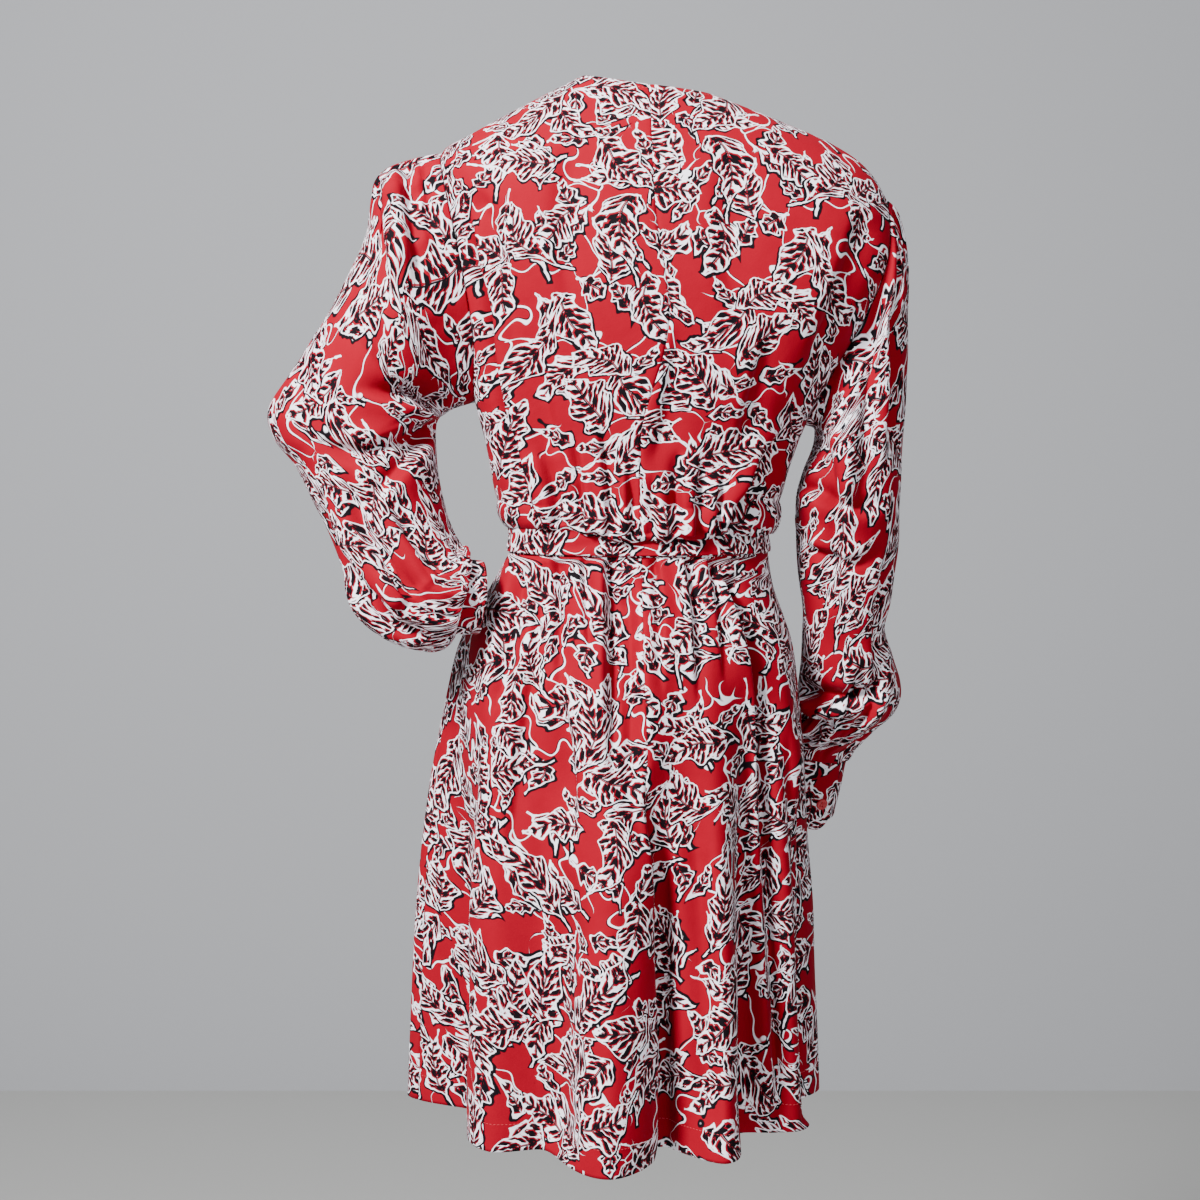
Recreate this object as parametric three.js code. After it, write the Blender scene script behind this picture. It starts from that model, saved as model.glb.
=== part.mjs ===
// Wrap dress with bishop sleeves, hollow and in the pose of its wearer: the left hand is on the hip
// and the right arm hangs. Millimetres, +Z up. The front faces -Y and the wearer's left is +X.
// The origin is the middle of the neck opening, at the height of the nape.
import * as THREE from "three";

const WALL = 1.6;
const CUFF_WALL = 2.2;
const SEAM_GAP = 0.3;
const HALF_GAP = SEAM_GAP / 2;
const WAIST_GAP = 1;
const LAYER_LIFT = WALL / 2 + 0.7;
const HEM_HEIGHT = -978;
const BELT_WIDTH = 25;
const BELT_WALL = 2;
const CUFF_DEPTH = 70;
const CUFF_RADIUS = 34;
const CUFF_LAP = 36;
const CUFF_LAP_CLEARANCE = 0.5;
// The strip's start lies under the flap, and from here it rises to the cuff's own radius over its rise.
const CUFF_UNDER_END = CUFF_LAP + 4;
const CUFF_RISE = 50;
const CUFF_CORNER = 16;
const CUFF_CORNER_INSETS = [CUFF_CORNER, 9.5, 5, 2.2, 0.6, 0];
const CUFF_COLUMNS = 28;
const CUFF_ROWS = [0, 0.33, 0.67, 1];
const FLAP_DROP = 9;
const FLAP_DROP_START = 70;
const FLAP_DROP_END = 10;
const BUTTON_RADIUS = 6;
const BUTTON_THICKNESS = 2.6;
const BUTTON_BEVEL = 0.7;
const BUTTON_INSET = 14;
const BUTTON_DEPTH = 50;
const BUTTON_HOLE_RADIUS = 1.3;
const BUTTON_HOLE_REACH = 2.2;

const DEGREE = Math.PI / 180;
const BACK = 90 * DEGREE;
const RIGHT = 180 * DEGREE;
const LEFT = 360 * DEGREE;
const WHOLE_TURN = 2 * Math.PI;

// A lapped panel rises to its own layer over this angle from its side seam.
const LAYER_RISE = 25 * DEGREE;

// Rings of the bodice, from the neck down to the waist seam. left, right, back and front are how far
// a ring reaches along X and Y, and zLeft to zFront its height there. The right shoulder hangs lower.
const TORSO_ROUNDNESS = 2.25;
const TORSO_RINGS = [
  { left: 56, right: -75, back: 44, front: -62, zLeft: 13, zRight: -6, zBack: 0, zFront: -66 },
  { left: 92, right: -114, back: 60, front: -80, zLeft: -5, zRight: -21, zBack: -26, zFront: -92 },
  { left: 128, right: -151, back: 80, front: -100, zLeft: -24, zRight: -36, zBack: -62, zFront: -120 },
  { left: 163, right: -189, back: 93, front: -115, zLeft: -43, zRight: -53, zBack: -100, zFront: -150 },
  { left: 190, right: -222, back: 102, front: -126, zLeft: -60, zRight: -77, zBack: -140, zFront: -180 },
  { left: 196, right: -243, back: 107, front: -133, zLeft: -90, zRight: -116, zBack: -182, zFront: -208 },
  { left: 192, right: -246, back: 108, front: -136, zLeft: -132, zRight: -162, zBack: -220, zFront: -236 },
  { left: 182, right: -226, back: 106, front: -134, zLeft: -182, zRight: -215, zBack: -256, zFront: -264 },
  { left: 169, right: -192, back: 102, front: -127, zLeft: -236, zRight: -272, zBack: -291, zFront: -294 },
  { left: 160, right: -164, back: 97, front: -119, zLeft: -290, zRight: -318, zBack: -324, zFront: -325 },
  { left: 147, right: -148, back: 93, front: -111, zLeft: -342, zRight: -358, zBack: -359, zFront: -360 },
  { left: 137, right: -137, back: 93, front: -108, zLeft: -392, zRight: -394, zBack: -396, zFront: -396 },
  { left: 123, right: -124, back: 85, front: -98, zLeft: -420, zRight: -420, zBack: -421, zFront: -420 },
  { left: 124, right: -125, back: 86, front: -98, zLeft: -446, zRight: -446, zBack: -446, zFront: -446 },
];
const WAIST_RING = TORSO_RINGS.length - 1;

// Armholes on the bodice, as the rings where each starts and ends and its reach round the ring.
const ARMHOLES = {
  left: { side: 0, turn: 1, top: 4.0, bottom: 9.2, backReach: 26 * DEGREE, frontReach: 31 * DEGREE },
  right: { side: RIGHT, turn: -1, top: 4.7, bottom: 9.1, backReach: 20 * DEGREE, frontReach: 29 * DEGREE },
};
const SHOULDER_STEPS = 4;
const ARMHOLE_STEPS = 10;
const SIDE_SEAM_RINGS = [9.9, 10.6, 11.2, 11.6, 12, 12.5, WAIST_RING];
const BODICE_BACK_COLUMNS = 8;
const BODICE_FRONT_COLUMNS = 12;

// The edges of the two fronts run straight from the shoulder's neck point to the waist.
const WRAP_EDGES = {
  over: { neckX: -78, neckZ: -6, waistX: 88, waistZ: -446 },
  under: { neckX: 59, neckZ: 13, waistX: -88, waistZ: -446 },
};
const NEAR_SIDE_MARGIN = 5 * DEGREE;
const FAR_SIDE_MARGIN = 20 * DEGREE;
const HALVINGS = 40;

// Rings of the skirt without its folds, from the waist seam to the hem.
const SKIRT_RINGS = [
  { z: -446, left: 124, right: -125, back: 86, front: -98 },
  { z: -462, left: 133, right: -127, back: 91, front: -103 },
  { z: -482, left: 144, right: -131, back: 99, front: -109 },
  { z: -507, left: 158, right: -140, back: 109, front: -116 },
  { z: -540, left: 174, right: -151, back: 120, front: -123 },
  { z: -595, left: 186, right: -159, back: 130, front: -132 },
  { z: -655, left: 197, right: -163, back: 138, front: -139 },
  { z: -725, left: 206, right: -166, back: 147, front: -145 },
  { z: -800, left: 212, right: -170, back: 155, front: -151 },
  { z: -890, left: 216, right: -173, back: 163, front: -156 },
  { z: HEM_HEIGHT, left: 219, right: -176, back: 170, front: -160 },
];
// Crests and troughs of the skirt's flare: where each lies round the hem, how far it stands out there,
// and how far down the skirt it begins.
const SKIRT_FOLDS = [
  { angle: -6, out: 7, start: 0.1 },
  { angle: 15, out: -56, start: 0.3 },
  { angle: 54, out: 0, start: 0.3 },
  { angle: 66, out: -26, start: 0.35 },
  { angle: 88, out: 34, start: 0.3 },
  { angle: 106, out: -36, start: 0.35 },
  { angle: 117, out: 16, start: 0.35 },
  { angle: 137, out: -40, start: 0.12 },
  { angle: 153, out: 4, start: 0.2 },
  { angle: 173, out: -30, start: 0.3 },
  { angle: 194, out: 8, start: 0.2 },
  { angle: 211, out: -24, start: 0.3 },
  { angle: 228, out: 15, start: 0.25 },
  { angle: 247, out: -22, start: 0.35 },
  { angle: 265, out: 18, start: 0.2 },
  { angle: 284, out: -25, start: 0.3 },
  { angle: 302, out: 14, start: 0.25 },
  { angle: 323, out: -24, start: 0.35 },
];
const SKIRT_BACK_SEAM_SHIFT = 10 * DEGREE;
const SKIRT_BACK_SEAM_BEND = 0.8;
const OVER_SKIRT_EDGE = 324 * DEGREE;
const UNDER_SKIRT_EDGE = 216 * DEGREE;
const SKIRT_STEPS = 10;
const SKIRT_BACK_COLUMNS = 20;
const SKIRT_FRONT_COLUMNS = 24;

// Sections of the sleeves. outX, outZ and inX, inZ are the two ends of a section as seen from behind,
// y its middle from front to back, deep half its depth, and swing its turn towards the way it runs.
const SLEEVE_LEFT_SECTIONS = [
  { outX: 191, outZ: -62, inX: 162, inZ: -302, y: -12, deep: 63, swing: 0, gather: 0 },
  { outX: 220, outZ: -70, inX: 176, inZ: -305, y: -9, deep: 70, swing: 0, gather: 0 },
  { outX: 253, outZ: -88, inX: 184, inZ: -308, y: -4, deep: 78, swing: 0, gather: 0 },
  { outX: 263, outZ: -140, inX: 189, inZ: -312, y: 1, deep: 78, swing: 0, gather: 0 },
  { outX: 291, outZ: -202, inX: 192, inZ: -314, y: 8, deep: 74, swing: 0, gather: 0 },
  { outX: 328, outZ: -264, inX: 193, inZ: -316, y: 15, deep: 68, swing: 0, gather: 0 },
  { outX: 354, outZ: -306, inX: 194, inZ: -319, y: 21, deep: 63, swing: 0, gather: 0 },
  { outX: 349, outZ: -336, inX: 195, inZ: -326, y: 25, deep: 60, swing: 0, gather: 0 },
  { outX: 326, outZ: -364, inX: 194, inZ: -346, y: 30, deep: 59, swing: 0, gather: 0 },
  { outX: 302, outZ: -408, inX: 189, inZ: -382, y: 38, deep: 59, swing: 2, gather: 0 },
  { outX: 282, outZ: -452, inX: 180, inZ: -418, y: 46, deep: 61, swing: 4, gather: 0.5 },
  { outX: 268, outZ: -496, inX: 170, inZ: -438, y: 54, deep: 61, swing: 8, gather: 1.5 },
  { outX: 232, outZ: -525, inX: 164, inZ: -441, y: 58, deep: 57, swing: 12, gather: 2.5 },
  { outX: 196, outZ: -535, inX: 161, inZ: -443, y: 58, deep: 50, swing: 16, gather: 2.5 },
];
const SLEEVE_RIGHT_SECTIONS = [
  { outX: -238, outZ: -104, inX: -162, inZ: -322, y: -15, deep: 56, swing: 0, gather: 0 },
  { outX: -251, outZ: -122, inX: -172, inZ: -327, y: -13, deep: 60, swing: 0, gather: 0 },
  { outX: -260, outZ: -160, inX: -173, inZ: -338, y: -9, deep: 64, swing: 0, gather: 0 },
  { outX: -262, outZ: -218, inX: -168, inZ: -352, y: -4, deep: 63, swing: 0, gather: 0 },
  { outX: -260, outZ: -280, inX: -160, inZ: -370, y: 0, deep: 60, swing: 0, gather: 0 },
  { outX: -256, outZ: -332, inX: -154, inZ: -393, y: 1, deep: 57, swing: 0, gather: 0 },
  { outX: -254, outZ: -386, inX: -155, inZ: -422, y: -1, deep: 55, swing: 2, gather: 0 },
  { outX: -253, outZ: -436, inX: -156, inZ: -452, y: -6, deep: 53, swing: 4, gather: 0 },
  { outX: -247, outZ: -490, inX: -161, inZ: -493, y: -16, deep: 50, swing: 6, gather: 0 },
  { outX: -243, outZ: -522, inX: -163, inZ: -521, y: -26, deep: 48, swing: 8, gather: 0 },
  { outX: -252, outZ: -548, inX: -163, inZ: -546, y: -35, deep: 51, swing: 9, gather: 0 },
  { outX: -261, outZ: -576, inX: -163, inZ: -573, y: -45, deep: 54, swing: 10, gather: 0.5 },
  { outX: -259, outZ: -600, inX: -162, inZ: -598, y: -54, deep: 54, swing: 11, gather: 1.5 },
  { outX: -242, outZ: -618, inX: -156, inZ: -622, y: -66, deep: 48, swing: 12, gather: 2.5 },
];
// Where the sleeve's last sections lie round the cuff: how far past the cuff's top edge and how wide.
// The left sleeve bags over its cuff and turns back under itself to the seam.
const LEFT_CUFF_TURN = [
  { along: 44, radius: 44, gather: 1.5 },
  { along: 42, radius: 40, gather: 0.8 },
  { along: 34, radius: 38.5, gather: 0.5 },
  { along: 6, radius: 36.6, gather: 0 },
];
const RIGHT_CUFF_TURN = [
  { along: -9, radius: 41, gather: 2 },
  { along: 5, radius: 36.6, gather: 0 },
];
const GATHERS = 10;
const COLUMNS_PER_GATHER = 4;
const SLEEVE_SEAM = 1.4;
const HEAD_GATHER_DEPTH = 4;
// The sleeve takes its own shape from this section on.
const HEAD_SECTION = 3;

// The belt lies round the lowest rings of the bodice, and its knot and ends on the left of the front.
const BELT_RINGS = { top: 11.97, bottom: 12.92 };
const BELT_COLUMNS = 56;
const BELT_CLEARANCE = 0.6;
// Between these angles the belt lies further out, over the lapped front. It gets there over its rise.
const BELT_OVER = { start: 180 * DEGREE, end: 326 * DEGREE, rise: 20 * DEGREE };
const BELT_KNOT = { angle: 311 * DEGREE, halfWidth: 15, halfHeight: 14, halfDepth: 8 };
const BELT_ENDS = {
  a: { angle: 304.5 * DEGREE, down: 0.7 },
  b: { angle: 317.5 * DEGREE, down: 0.62 },
};
const BELT_END_START = 0.006;
const BELT_END_STEPS = 12;
const BELT_END_NARROWING = 0.4;
const BELT_END_NARROW_LENGTH = 0.15;
const BELT_END_LIFT = LAYER_LIFT + WALL + BELT_CLEARANCE;

const CUFFS = {
  left: {
    top: new THREE.Vector3(218, 72, -480), end: new THREE.Vector3(151, 55, -486), way: 1,
    flap: 180 * DEGREE, drop: 0,
  },
  right: {
    top: new THREE.Vector3(-182, -82, -645), end: new THREE.Vector3(-169, -98, -714), way: -1,
    flap: -46 * DEGREE, drop: FLAP_DROP,
  },
};

const CLOTH_FINISH = { color: 0xd92231, roughness: 0.75, metalness: 0 };
const BUTTON_FINISH = { color: 0xb81c2a, roughness: 0.35, metalness: 0 };

function cloth() {
  return new THREE.MeshStandardMaterial(CLOTH_FINISH);
}

// A smooth run through the values of one named column, by the row number.
function along(rows, name, position) {
  const last = rows.length - 1;
  const index = Math.min(Math.max(Math.floor(position), 0), last - 1);
  const part = position - index;
  const value = (row) => rows[Math.min(Math.max(row, 0), last)][name];
  const [a, b, c, d] = [value(index - 1), value(index), value(index + 1), value(index + 2)];
  const slopeB = (c - a) / 2;
  const slopeC = (d - b) / 2;
  const rest = c - b;
  return b + part * (slopeB + part * (3 * rest - 2 * slopeB - slopeC + part * (slopeB + slopeC - 2 * rest)));
}

function smooth(value) {
  const clamped = Math.min(Math.max(value, 0), 1);
  return clamped * clamped * (3 - 2 * clamped);
}

// The place on a ring at an angle that runs from the wearer's left round the back to the right.
function ringPlace(left, right, back, front, roundness, angle) {
  const power = 2 / roundness;
  const across = Math.sign(Math.cos(angle)) * Math.abs(Math.cos(angle)) ** power;
  const deep = Math.sign(Math.sin(angle)) * Math.abs(Math.sin(angle)) ** power;
  const x = (left + right) / 2 + ((left - right) / 2) * across;
  return new THREE.Vector3(x, deep > 0 ? back * deep : -front * deep, 0);
}

function torso(angle, ring) {
  const column = (name) => along(TORSO_RINGS, name, ring);
  const place = ringPlace(column("left"), column("right"), column("back"), column("front"),
    TORSO_ROUNDNESS, angle);
  const [zLeft, zRight] = [column("zLeft"), column("zRight")];
  const middle = (zLeft + zRight) / 2;
  const zEnd = Math.sin(angle) > 0 ? column("zBack") : column("zFront");
  place.z = middle + ((zLeft - zRight) / 2) * Math.cos(angle) + (zEnd - middle) * Math.sin(angle) ** 2;
  return place;
}

// How far the skirt's cloth stands out from its plain ring.
function foldOut(angle, down) {
  const degrees = angle / DEGREE;
  const first = SKIRT_FOLDS[0].angle;
  const turned = ((((degrees - first) % 360) + 360) % 360) + first;
  const next = SKIRT_FOLDS.findIndex((fold) => fold.angle > turned);
  const after = next < 0 ? { ...SKIRT_FOLDS[0], angle: first + 360 } : SKIRT_FOLDS[next];
  const before = SKIRT_FOLDS[(next < 0 ? SKIRT_FOLDS.length : next) - 1];
  const height = (fold) => fold.out * smooth((down - fold.start) / (1 - fold.start));
  const part = smooth((turned - before.angle) / (after.angle - before.angle));
  return height(before) + (height(after) - height(before)) * part;
}

// The skirt's surface. down runs from 0 at the waist seam to 1 at the hem.
function skirt(angle, down) {
  const position = down * (SKIRT_RINGS.length - 1);
  const column = (name) => along(SKIRT_RINGS, name, position);
  const roundness = TORSO_ROUNDNESS + (2 - TORSO_ROUNDNESS) * smooth(down * 2);
  const place = ringPlace(column("left"), column("right"), column("back"), column("front"), roundness, angle);
  const middle = new THREE.Vector3((column("left") + column("right")) / 2, 0, 0);
  const outward = place.clone().sub(middle).normalize();
  place.addScaledVector(outward, foldOut(angle, down));
  place.z = column("z");
  return place;
}

// The point of a surface, moved out of it by a height. side is 1 where the first value turns
// anticlockwise about the way that the second one runs, seen from its start, and otherwise -1.
function lifted(surface, first, second, height, side = 1) {
  const step = 1e-3;
  const alongFirst = surface(first + step, second).sub(surface(first - step, second));
  const alongSecond = surface(first, second + step).sub(surface(first, second - step));
  const normal = alongSecond.cross(alongFirst).normalize();
  return surface(first, second).addScaledVector(normal, height * side);
}

// A closed wall from two grids of points, the outside and the inside, joined along their rims.
// Grids are lists of rows, and a round one closes on itself along its rows.
function wall(outside, inside, round) {
  const rows = outside.length;
  const columns = outside[0].length;
  const positions = [...outside.flat(), ...inside.flat()].flatMap((point) => point.toArray());
  const index = (layer, row, column) => (layer * rows + row) * columns + (column % columns);
  const faces = [];
  const quad = (a, b, c, d) => faces.push(a, b, c, a, c, d);
  const strips = round ? columns : columns - 1;
  for (let row = 0; row < rows - 1; row += 1) {
    for (let column = 0; column < strips; column += 1) {
      quad(index(0, row, column), index(0, row + 1, column),
        index(0, row + 1, column + 1), index(0, row, column + 1));
      quad(index(1, row, column), index(1, row, column + 1),
        index(1, row + 1, column + 1), index(1, row + 1, column));
    }
  }
  for (let column = 0; column < strips; column += 1) {
    quad(index(0, 0, column), index(0, 0, column + 1), index(1, 0, column + 1), index(1, 0, column));
    quad(index(0, rows - 1, column), index(1, rows - 1, column),
      index(1, rows - 1, column + 1), index(0, rows - 1, column + 1));
  }
  if (!round) {
    for (let row = 0; row < rows - 1; row += 1) {
      quad(index(0, row, 0), index(1, row, 0), index(1, row + 1, 0), index(0, row + 1, 0));
      quad(index(0, row, columns - 1), index(0, row + 1, columns - 1),
        index(1, row + 1, columns - 1), index(1, row, columns - 1));
    }
  }
  return outwardGeometry(positions, faces);
}

// Turns every face over where the body would otherwise be inside out.
function outwardGeometry(positions, faces) {
  const corner = (face, place) => new THREE.Vector3().fromArray(positions, faces[face + place] * 3);
  let volume = 0;
  for (let face = 0; face < faces.length; face += 3) {
    volume += corner(face, 0).dot(corner(face, 1).cross(corner(face, 2)));
  }
  if (volume < 0) {
    faces.reverse();
  }
  const geometry = new THREE.BufferGeometry();
  geometry.setAttribute("position", new THREE.Float32BufferAttribute(positions, 3));
  geometry.setIndex(faces);
  geometry.computeVertexNormals();
  return geometry;
}

// Draws a grid's border in by half a seam's gap, towards the next row or column.
function trimmed(grid, sides) {
  const drawn = grid.map((row) => row.map((point) => point.clone()));
  const rows = grid.length - 1;
  const columns = grid[0].length - 1;
  const pull = (row, column, toRow, toColumn, amount) => {
    const way = grid[toRow][toColumn].clone().sub(grid[row][column]).normalize();
    drawn[row][column].addScaledVector(way, amount);
  };
  for (let row = 0; row <= rows; row += 1) {
    pull(row, 0, row, 1, sides.first ?? 0);
    pull(row, columns, row, columns - 1, sides.last ?? 0);
  }
  for (let column = 0; column <= columns; column += 1) {
    pull(0, column, 1, column, sides.top ?? 0);
    pull(rows, column, rows - 1, column, sides.bottom ?? 0);
  }
  return drawn;
}

// A panel of cloth cut from a surface. spots is a grid of places on it: first, second and lift.
function clothPanel(surface, spots, sides, thickness = WALL) {
  const layer = (height) => trimmed(
    spots.map((row) => row.map((spot) => lifted(surface, spot.first, spot.second, spot.lift + height))), sides);
  return wall(layer(thickness / 2), layer(-thickness / 2), false);
}

function steps(from, to, count) {
  return Array.from({ length: count + 1 }, (_, step) => from + ((to - from) * step) / count);
}

// The armhole's edge on the bodice at a turn from the shoulder round the back to the underarm.
function armholeSpot(armhole, turn) {
  const middle = (armhole.top + armhole.bottom) / 2;
  const half = (armhole.bottom - armhole.top) / 2;
  const reach = Math.sin(turn) > 0 ? armhole.backReach : armhole.frontReach;
  return {
    first: armhole.side + armhole.turn * reach * Math.sin(turn),
    second: middle - half * Math.cos(turn),
  };
}

// Rows of a bodice panel: down the shoulder seam, round the armhole and down the side seam.
function bodiceRows(armhole, facing) {
  const atSide = (ring) => ({ first: armhole.side, second: ring });
  const shoulder = steps(0, armhole.top, SHOULDER_STEPS).slice(0, -1).map(atSide);
  const hole = steps(0, Math.PI, ARMHOLE_STEPS).map((turn) => armholeSpot(armhole, turn * facing));
  return [...shoulder, ...hole, ...SIDE_SEAM_RINGS.map(atSide)];
}

// A bodice panel between its side edge and an inner edge, given as an angle for each ring. Both halves
// of the bodice have the same rings at their inner edges.
function bodicePanel(armhole, facing, columns, innerEdge, lift, sides) {
  const leftRows = bodiceRows(ARMHOLES.left, facing);
  const rightRows = bodiceRows(ARMHOLES.right, facing);
  const spots = bodiceRows(armhole, facing).map((edge, row) => {
    const innerRing = (leftRows[row].second + rightRows[row].second) / 2;
    const inner = innerEdge(innerRing);
    return steps(0, 1, columns).map((part) => {
      const first = edge.first + (inner - edge.first) * part;
      const second = edge.second + (innerRing - edge.second) * part;
      return { first, second, lift: lift * smooth(Math.abs(first - edge.first) / LAYER_RISE) };
    });
  });
  return clothPanel(torso, spots, sides);
}

// The angle at which a ring of the bodice meets a front's straight edge.
function wrapAngle(edge, ring, from, to) {
  const past = (angle) => {
    const place = torso(angle, ring);
    const part = (place.z - edge.neckZ) / (edge.waistZ - edge.neckZ);
    return place.x - (edge.neckX + (edge.waistX - edge.neckX) * part);
  };
  let [low, high] = [from, to];
  const sign = Math.sign(past(high)) || 1;
  for (let round = 0; round < HALVINGS; round += 1) {
    const middle = (low + high) / 2;
    if (past(middle) * sign > 0) {
      high = middle;
    } else {
      low = middle;
    }
  }
  return (low + high) / 2;
}

function bodiceBack(armhole) {
  const sides = { first: HALF_GAP, last: HALF_GAP, bottom: HALF_GAP };
  return bodicePanel(armhole, 1, BODICE_BACK_COLUMNS, () => BACK, 0, sides);
}

function bodiceFrontOver() {
  const from = RIGHT + NEAR_SIDE_MARGIN;
  const edge = (ring) => wrapAngle(WRAP_EDGES.over, ring, from, LEFT - FAR_SIDE_MARGIN);
  const sides = { first: HALF_GAP, bottom: HALF_GAP };
  return bodicePanel(ARMHOLES.right, -1, BODICE_FRONT_COLUMNS, edge, LAYER_LIFT, sides);
}

function bodiceFrontUnder() {
  const armhole = { ...ARMHOLES.left, side: LEFT };
  const from = LEFT - NEAR_SIDE_MARGIN;
  const edge = (ring) => wrapAngle(WRAP_EDGES.under, ring, from, RIGHT + FAR_SIDE_MARGIN);
  const sides = { first: HALF_GAP, bottom: HALF_GAP };
  return bodicePanel(armhole, -1, BODICE_FRONT_COLUMNS, edge, -LAYER_LIFT, sides);
}

// A skirt panel between two angles that may change on the way down. seam is where its side seam
// lies: the panel's lift grows away from it.
function skirtPanel(from, to, columns, seam, lift) {
  const spots = steps(0, 1, SKIRT_STEPS).map((down) => steps(from(down), to(down), columns).map((first) => (
    { first, second: down, lift: lift * smooth(Math.abs(first - seam) / LAYER_RISE) })));
  return clothPanel(skirt, spots, { first: HALF_GAP, last: HALF_GAP, top: WAIST_GAP });
}

function backSeam(down) {
  return BACK + SKIRT_BACK_SEAM_SHIFT * down ** SKIRT_BACK_SEAM_BEND;
}

// One section of a sleeve: its middle, its two half sizes as vectors, from the row numbers.
function sectionAt(sections, position) {
  const column = (name) => along(sections, name, position);
  const out = new THREE.Vector3(column("outX"), column("y"), column("outZ"));
  const inner = new THREE.Vector3(column("inX"), column("y"), column("inZ"));
  const across = out.clone().sub(inner).multiplyScalar(0.5);
  const run = new THREE.Vector3(across.z, 0, -across.x).normalize().multiplyScalar(column("way"));
  const swing = column("swing") * DEGREE;
  const deep = new THREE.Vector3(0, Math.cos(swing), 0).addScaledVector(run, Math.sin(swing));
  return {
    middle: out.add(inner).multiplyScalar(0.5), across, deep: deep.multiplyScalar(column("deep")),
    gather: column("gather"),
  };
}

// The same columns for a section that lies square round the cuff.
function cuffSection(cuff, place) {
  const axis = cuff.end.clone().sub(cuff.top).normalize();
  const middle = cuff.top.clone().addScaledVector(axis, place.along);
  const flat = new THREE.Vector3(axis.x, 0, axis.z).normalize();
  const swing = Math.asin(-axis.y) / DEGREE;
  const out = new THREE.Vector3(-flat.z, 0, flat.x).multiplyScalar(place.radius * cuff.way);
  return {
    outX: middle.x + out.x, outZ: middle.z + out.z, inX: middle.x - out.x, inZ: middle.z - out.z,
    y: middle.y, deep: place.radius, swing, gather: place.gather,
  };
}

// A point of the armhole's edge on the straight line between two of the bodice's own corners.
function armholeEdge(armhole, turn) {
  const stride = Math.PI / ARMHOLE_STEPS;
  const index = Math.floor(turn / stride + 1e-6);
  const corner = (step) => {
    const spot = armholeSpot(armhole, step * stride);
    return torso(spot.first, spot.second);
  };
  return corner(index).lerp(corner(index + 1), turn / stride - index);
}

// turn runs from the shoulder round the back to the underarm and on round the front.
function sleeveSurface(armhole, sections) {
  const tubeAt = (turn, position) => {
    const section = sectionAt(sections, position);
    const top = 0.5 + 0.5 * Math.cos(turn);
    const gatherHead = HEAD_GATHER_DEPTH * top * Math.sin(Math.PI * Math.min(position / HEAD_SECTION, 1));
    const scale = 1 + ((section.gather + gatherHead) * Math.cos(GATHERS * turn)) / section.across.length();
    return section.middle.clone()
      .addScaledVector(section.across, Math.cos(turn) * scale)
      .addScaledVector(section.deep, Math.sin(turn) * scale);
  };
  return (turn, position) => {
    const tube = tubeAt(turn, position);
    const edge = armholeEdge(armhole, ((turn % WHOLE_TURN) + WHOLE_TURN) % WHOLE_TURN);
    const start = tubeAt(turn, 0);
    const seam = tubeAt(turn, 1).sub(start).normalize().multiplyScalar(SLEEVE_SEAM);
    const bow = edge.add(seam).sub(start);
    return tube.addScaledVector(bow, 1 - smooth(position / HEAD_SECTION));
  };
}

function sleeve(armhole, sections, cuff, cuffTurn) {
  const rows = [...sections, ...cuffTurn.map((place) => cuffSection(cuff, place))]
    .map((row) => ({ ...row, way: cuff.way }));
  const surface = sleeveSurface(armhole, rows);
  const turns = steps(0, WHOLE_TURN, GATHERS * COLUMNS_PER_GATHER).slice(0, -1);
  const positions = [0, 0.5, ...steps(1, rows.length - 1, rows.length - 2)];
  const layer = (height) => positions.map((position) => turns.map((turn) => (
    lifted(surface, turn, position, height, cuff.way))));
  return wall(layer(WALL / 2), layer(-WALL / 2), true);
}

// The cuff is one strip wound round the wrist, and its flap laps over its other end.
// around runs along the strip and depth from the sleeve's seam to the free edge, in millimetres.
function cuffFrame(cuff) {
  const axis = cuff.end.clone().sub(cuff.top).normalize();
  const start = new THREE.Vector3(0, 1, 0).addScaledVector(axis, -axis.y).normalize();
  return { axis, start, other: axis.clone().cross(start), length: WHOLE_TURN * CUFF_RADIUS + CUFF_LAP };
}

function cuffSurface(cuff) {
  const { axis, start, other, length } = cuffFrame(cuff);
  return (around, depth) => {
    const angle = cuff.flap + (length - around) / CUFF_RADIUS;
    const under = 1 - smooth((around - CUFF_UNDER_END) / CUFF_RISE);
    const radius = CUFF_RADIUS - (CUFF_WALL + CUFF_LAP_CLEARANCE) * under;
    return cuff.top.clone().addScaledVector(axis, depth)
      .addScaledVector(start, radius * Math.cos(angle)).addScaledVector(other, radius * Math.sin(angle));
  };
}

function cuffPiece(cuff) {
  const surface = cuffSurface(cuff);
  const { length } = cuffFrame(cuff);
  const corner = CUFF_CORNER_INSETS.map((inset) => length - inset);
  const around = [...steps(0, length - CUFF_CORNER, CUFF_COLUMNS).slice(0, -1), ...corner];
  const spots = CUFF_ROWS.map((part) => around.map((place) => {
    const inset = Math.max(CUFF_CORNER - (length - place), 0);
    const rounding = CUFF_CORNER - Math.sqrt(Math.max(CUFF_CORNER ** 2 - inset ** 2, 0));
    const drop = cuff.drop * smooth((place - length + FLAP_DROP_START) / (FLAP_DROP_START - FLAP_DROP_END));
    return { first: place, second: part * (CUFF_DEPTH + drop - rounding), lift: 0 };
  }));
  const layer = (height) => spots.map((row) => row.map((spot) => (
    lifted(surface, spot.first, spot.second, height))));
  return wall(layer(CUFF_WALL / 2), layer(-CUFF_WALL / 2), false);
}

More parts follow.
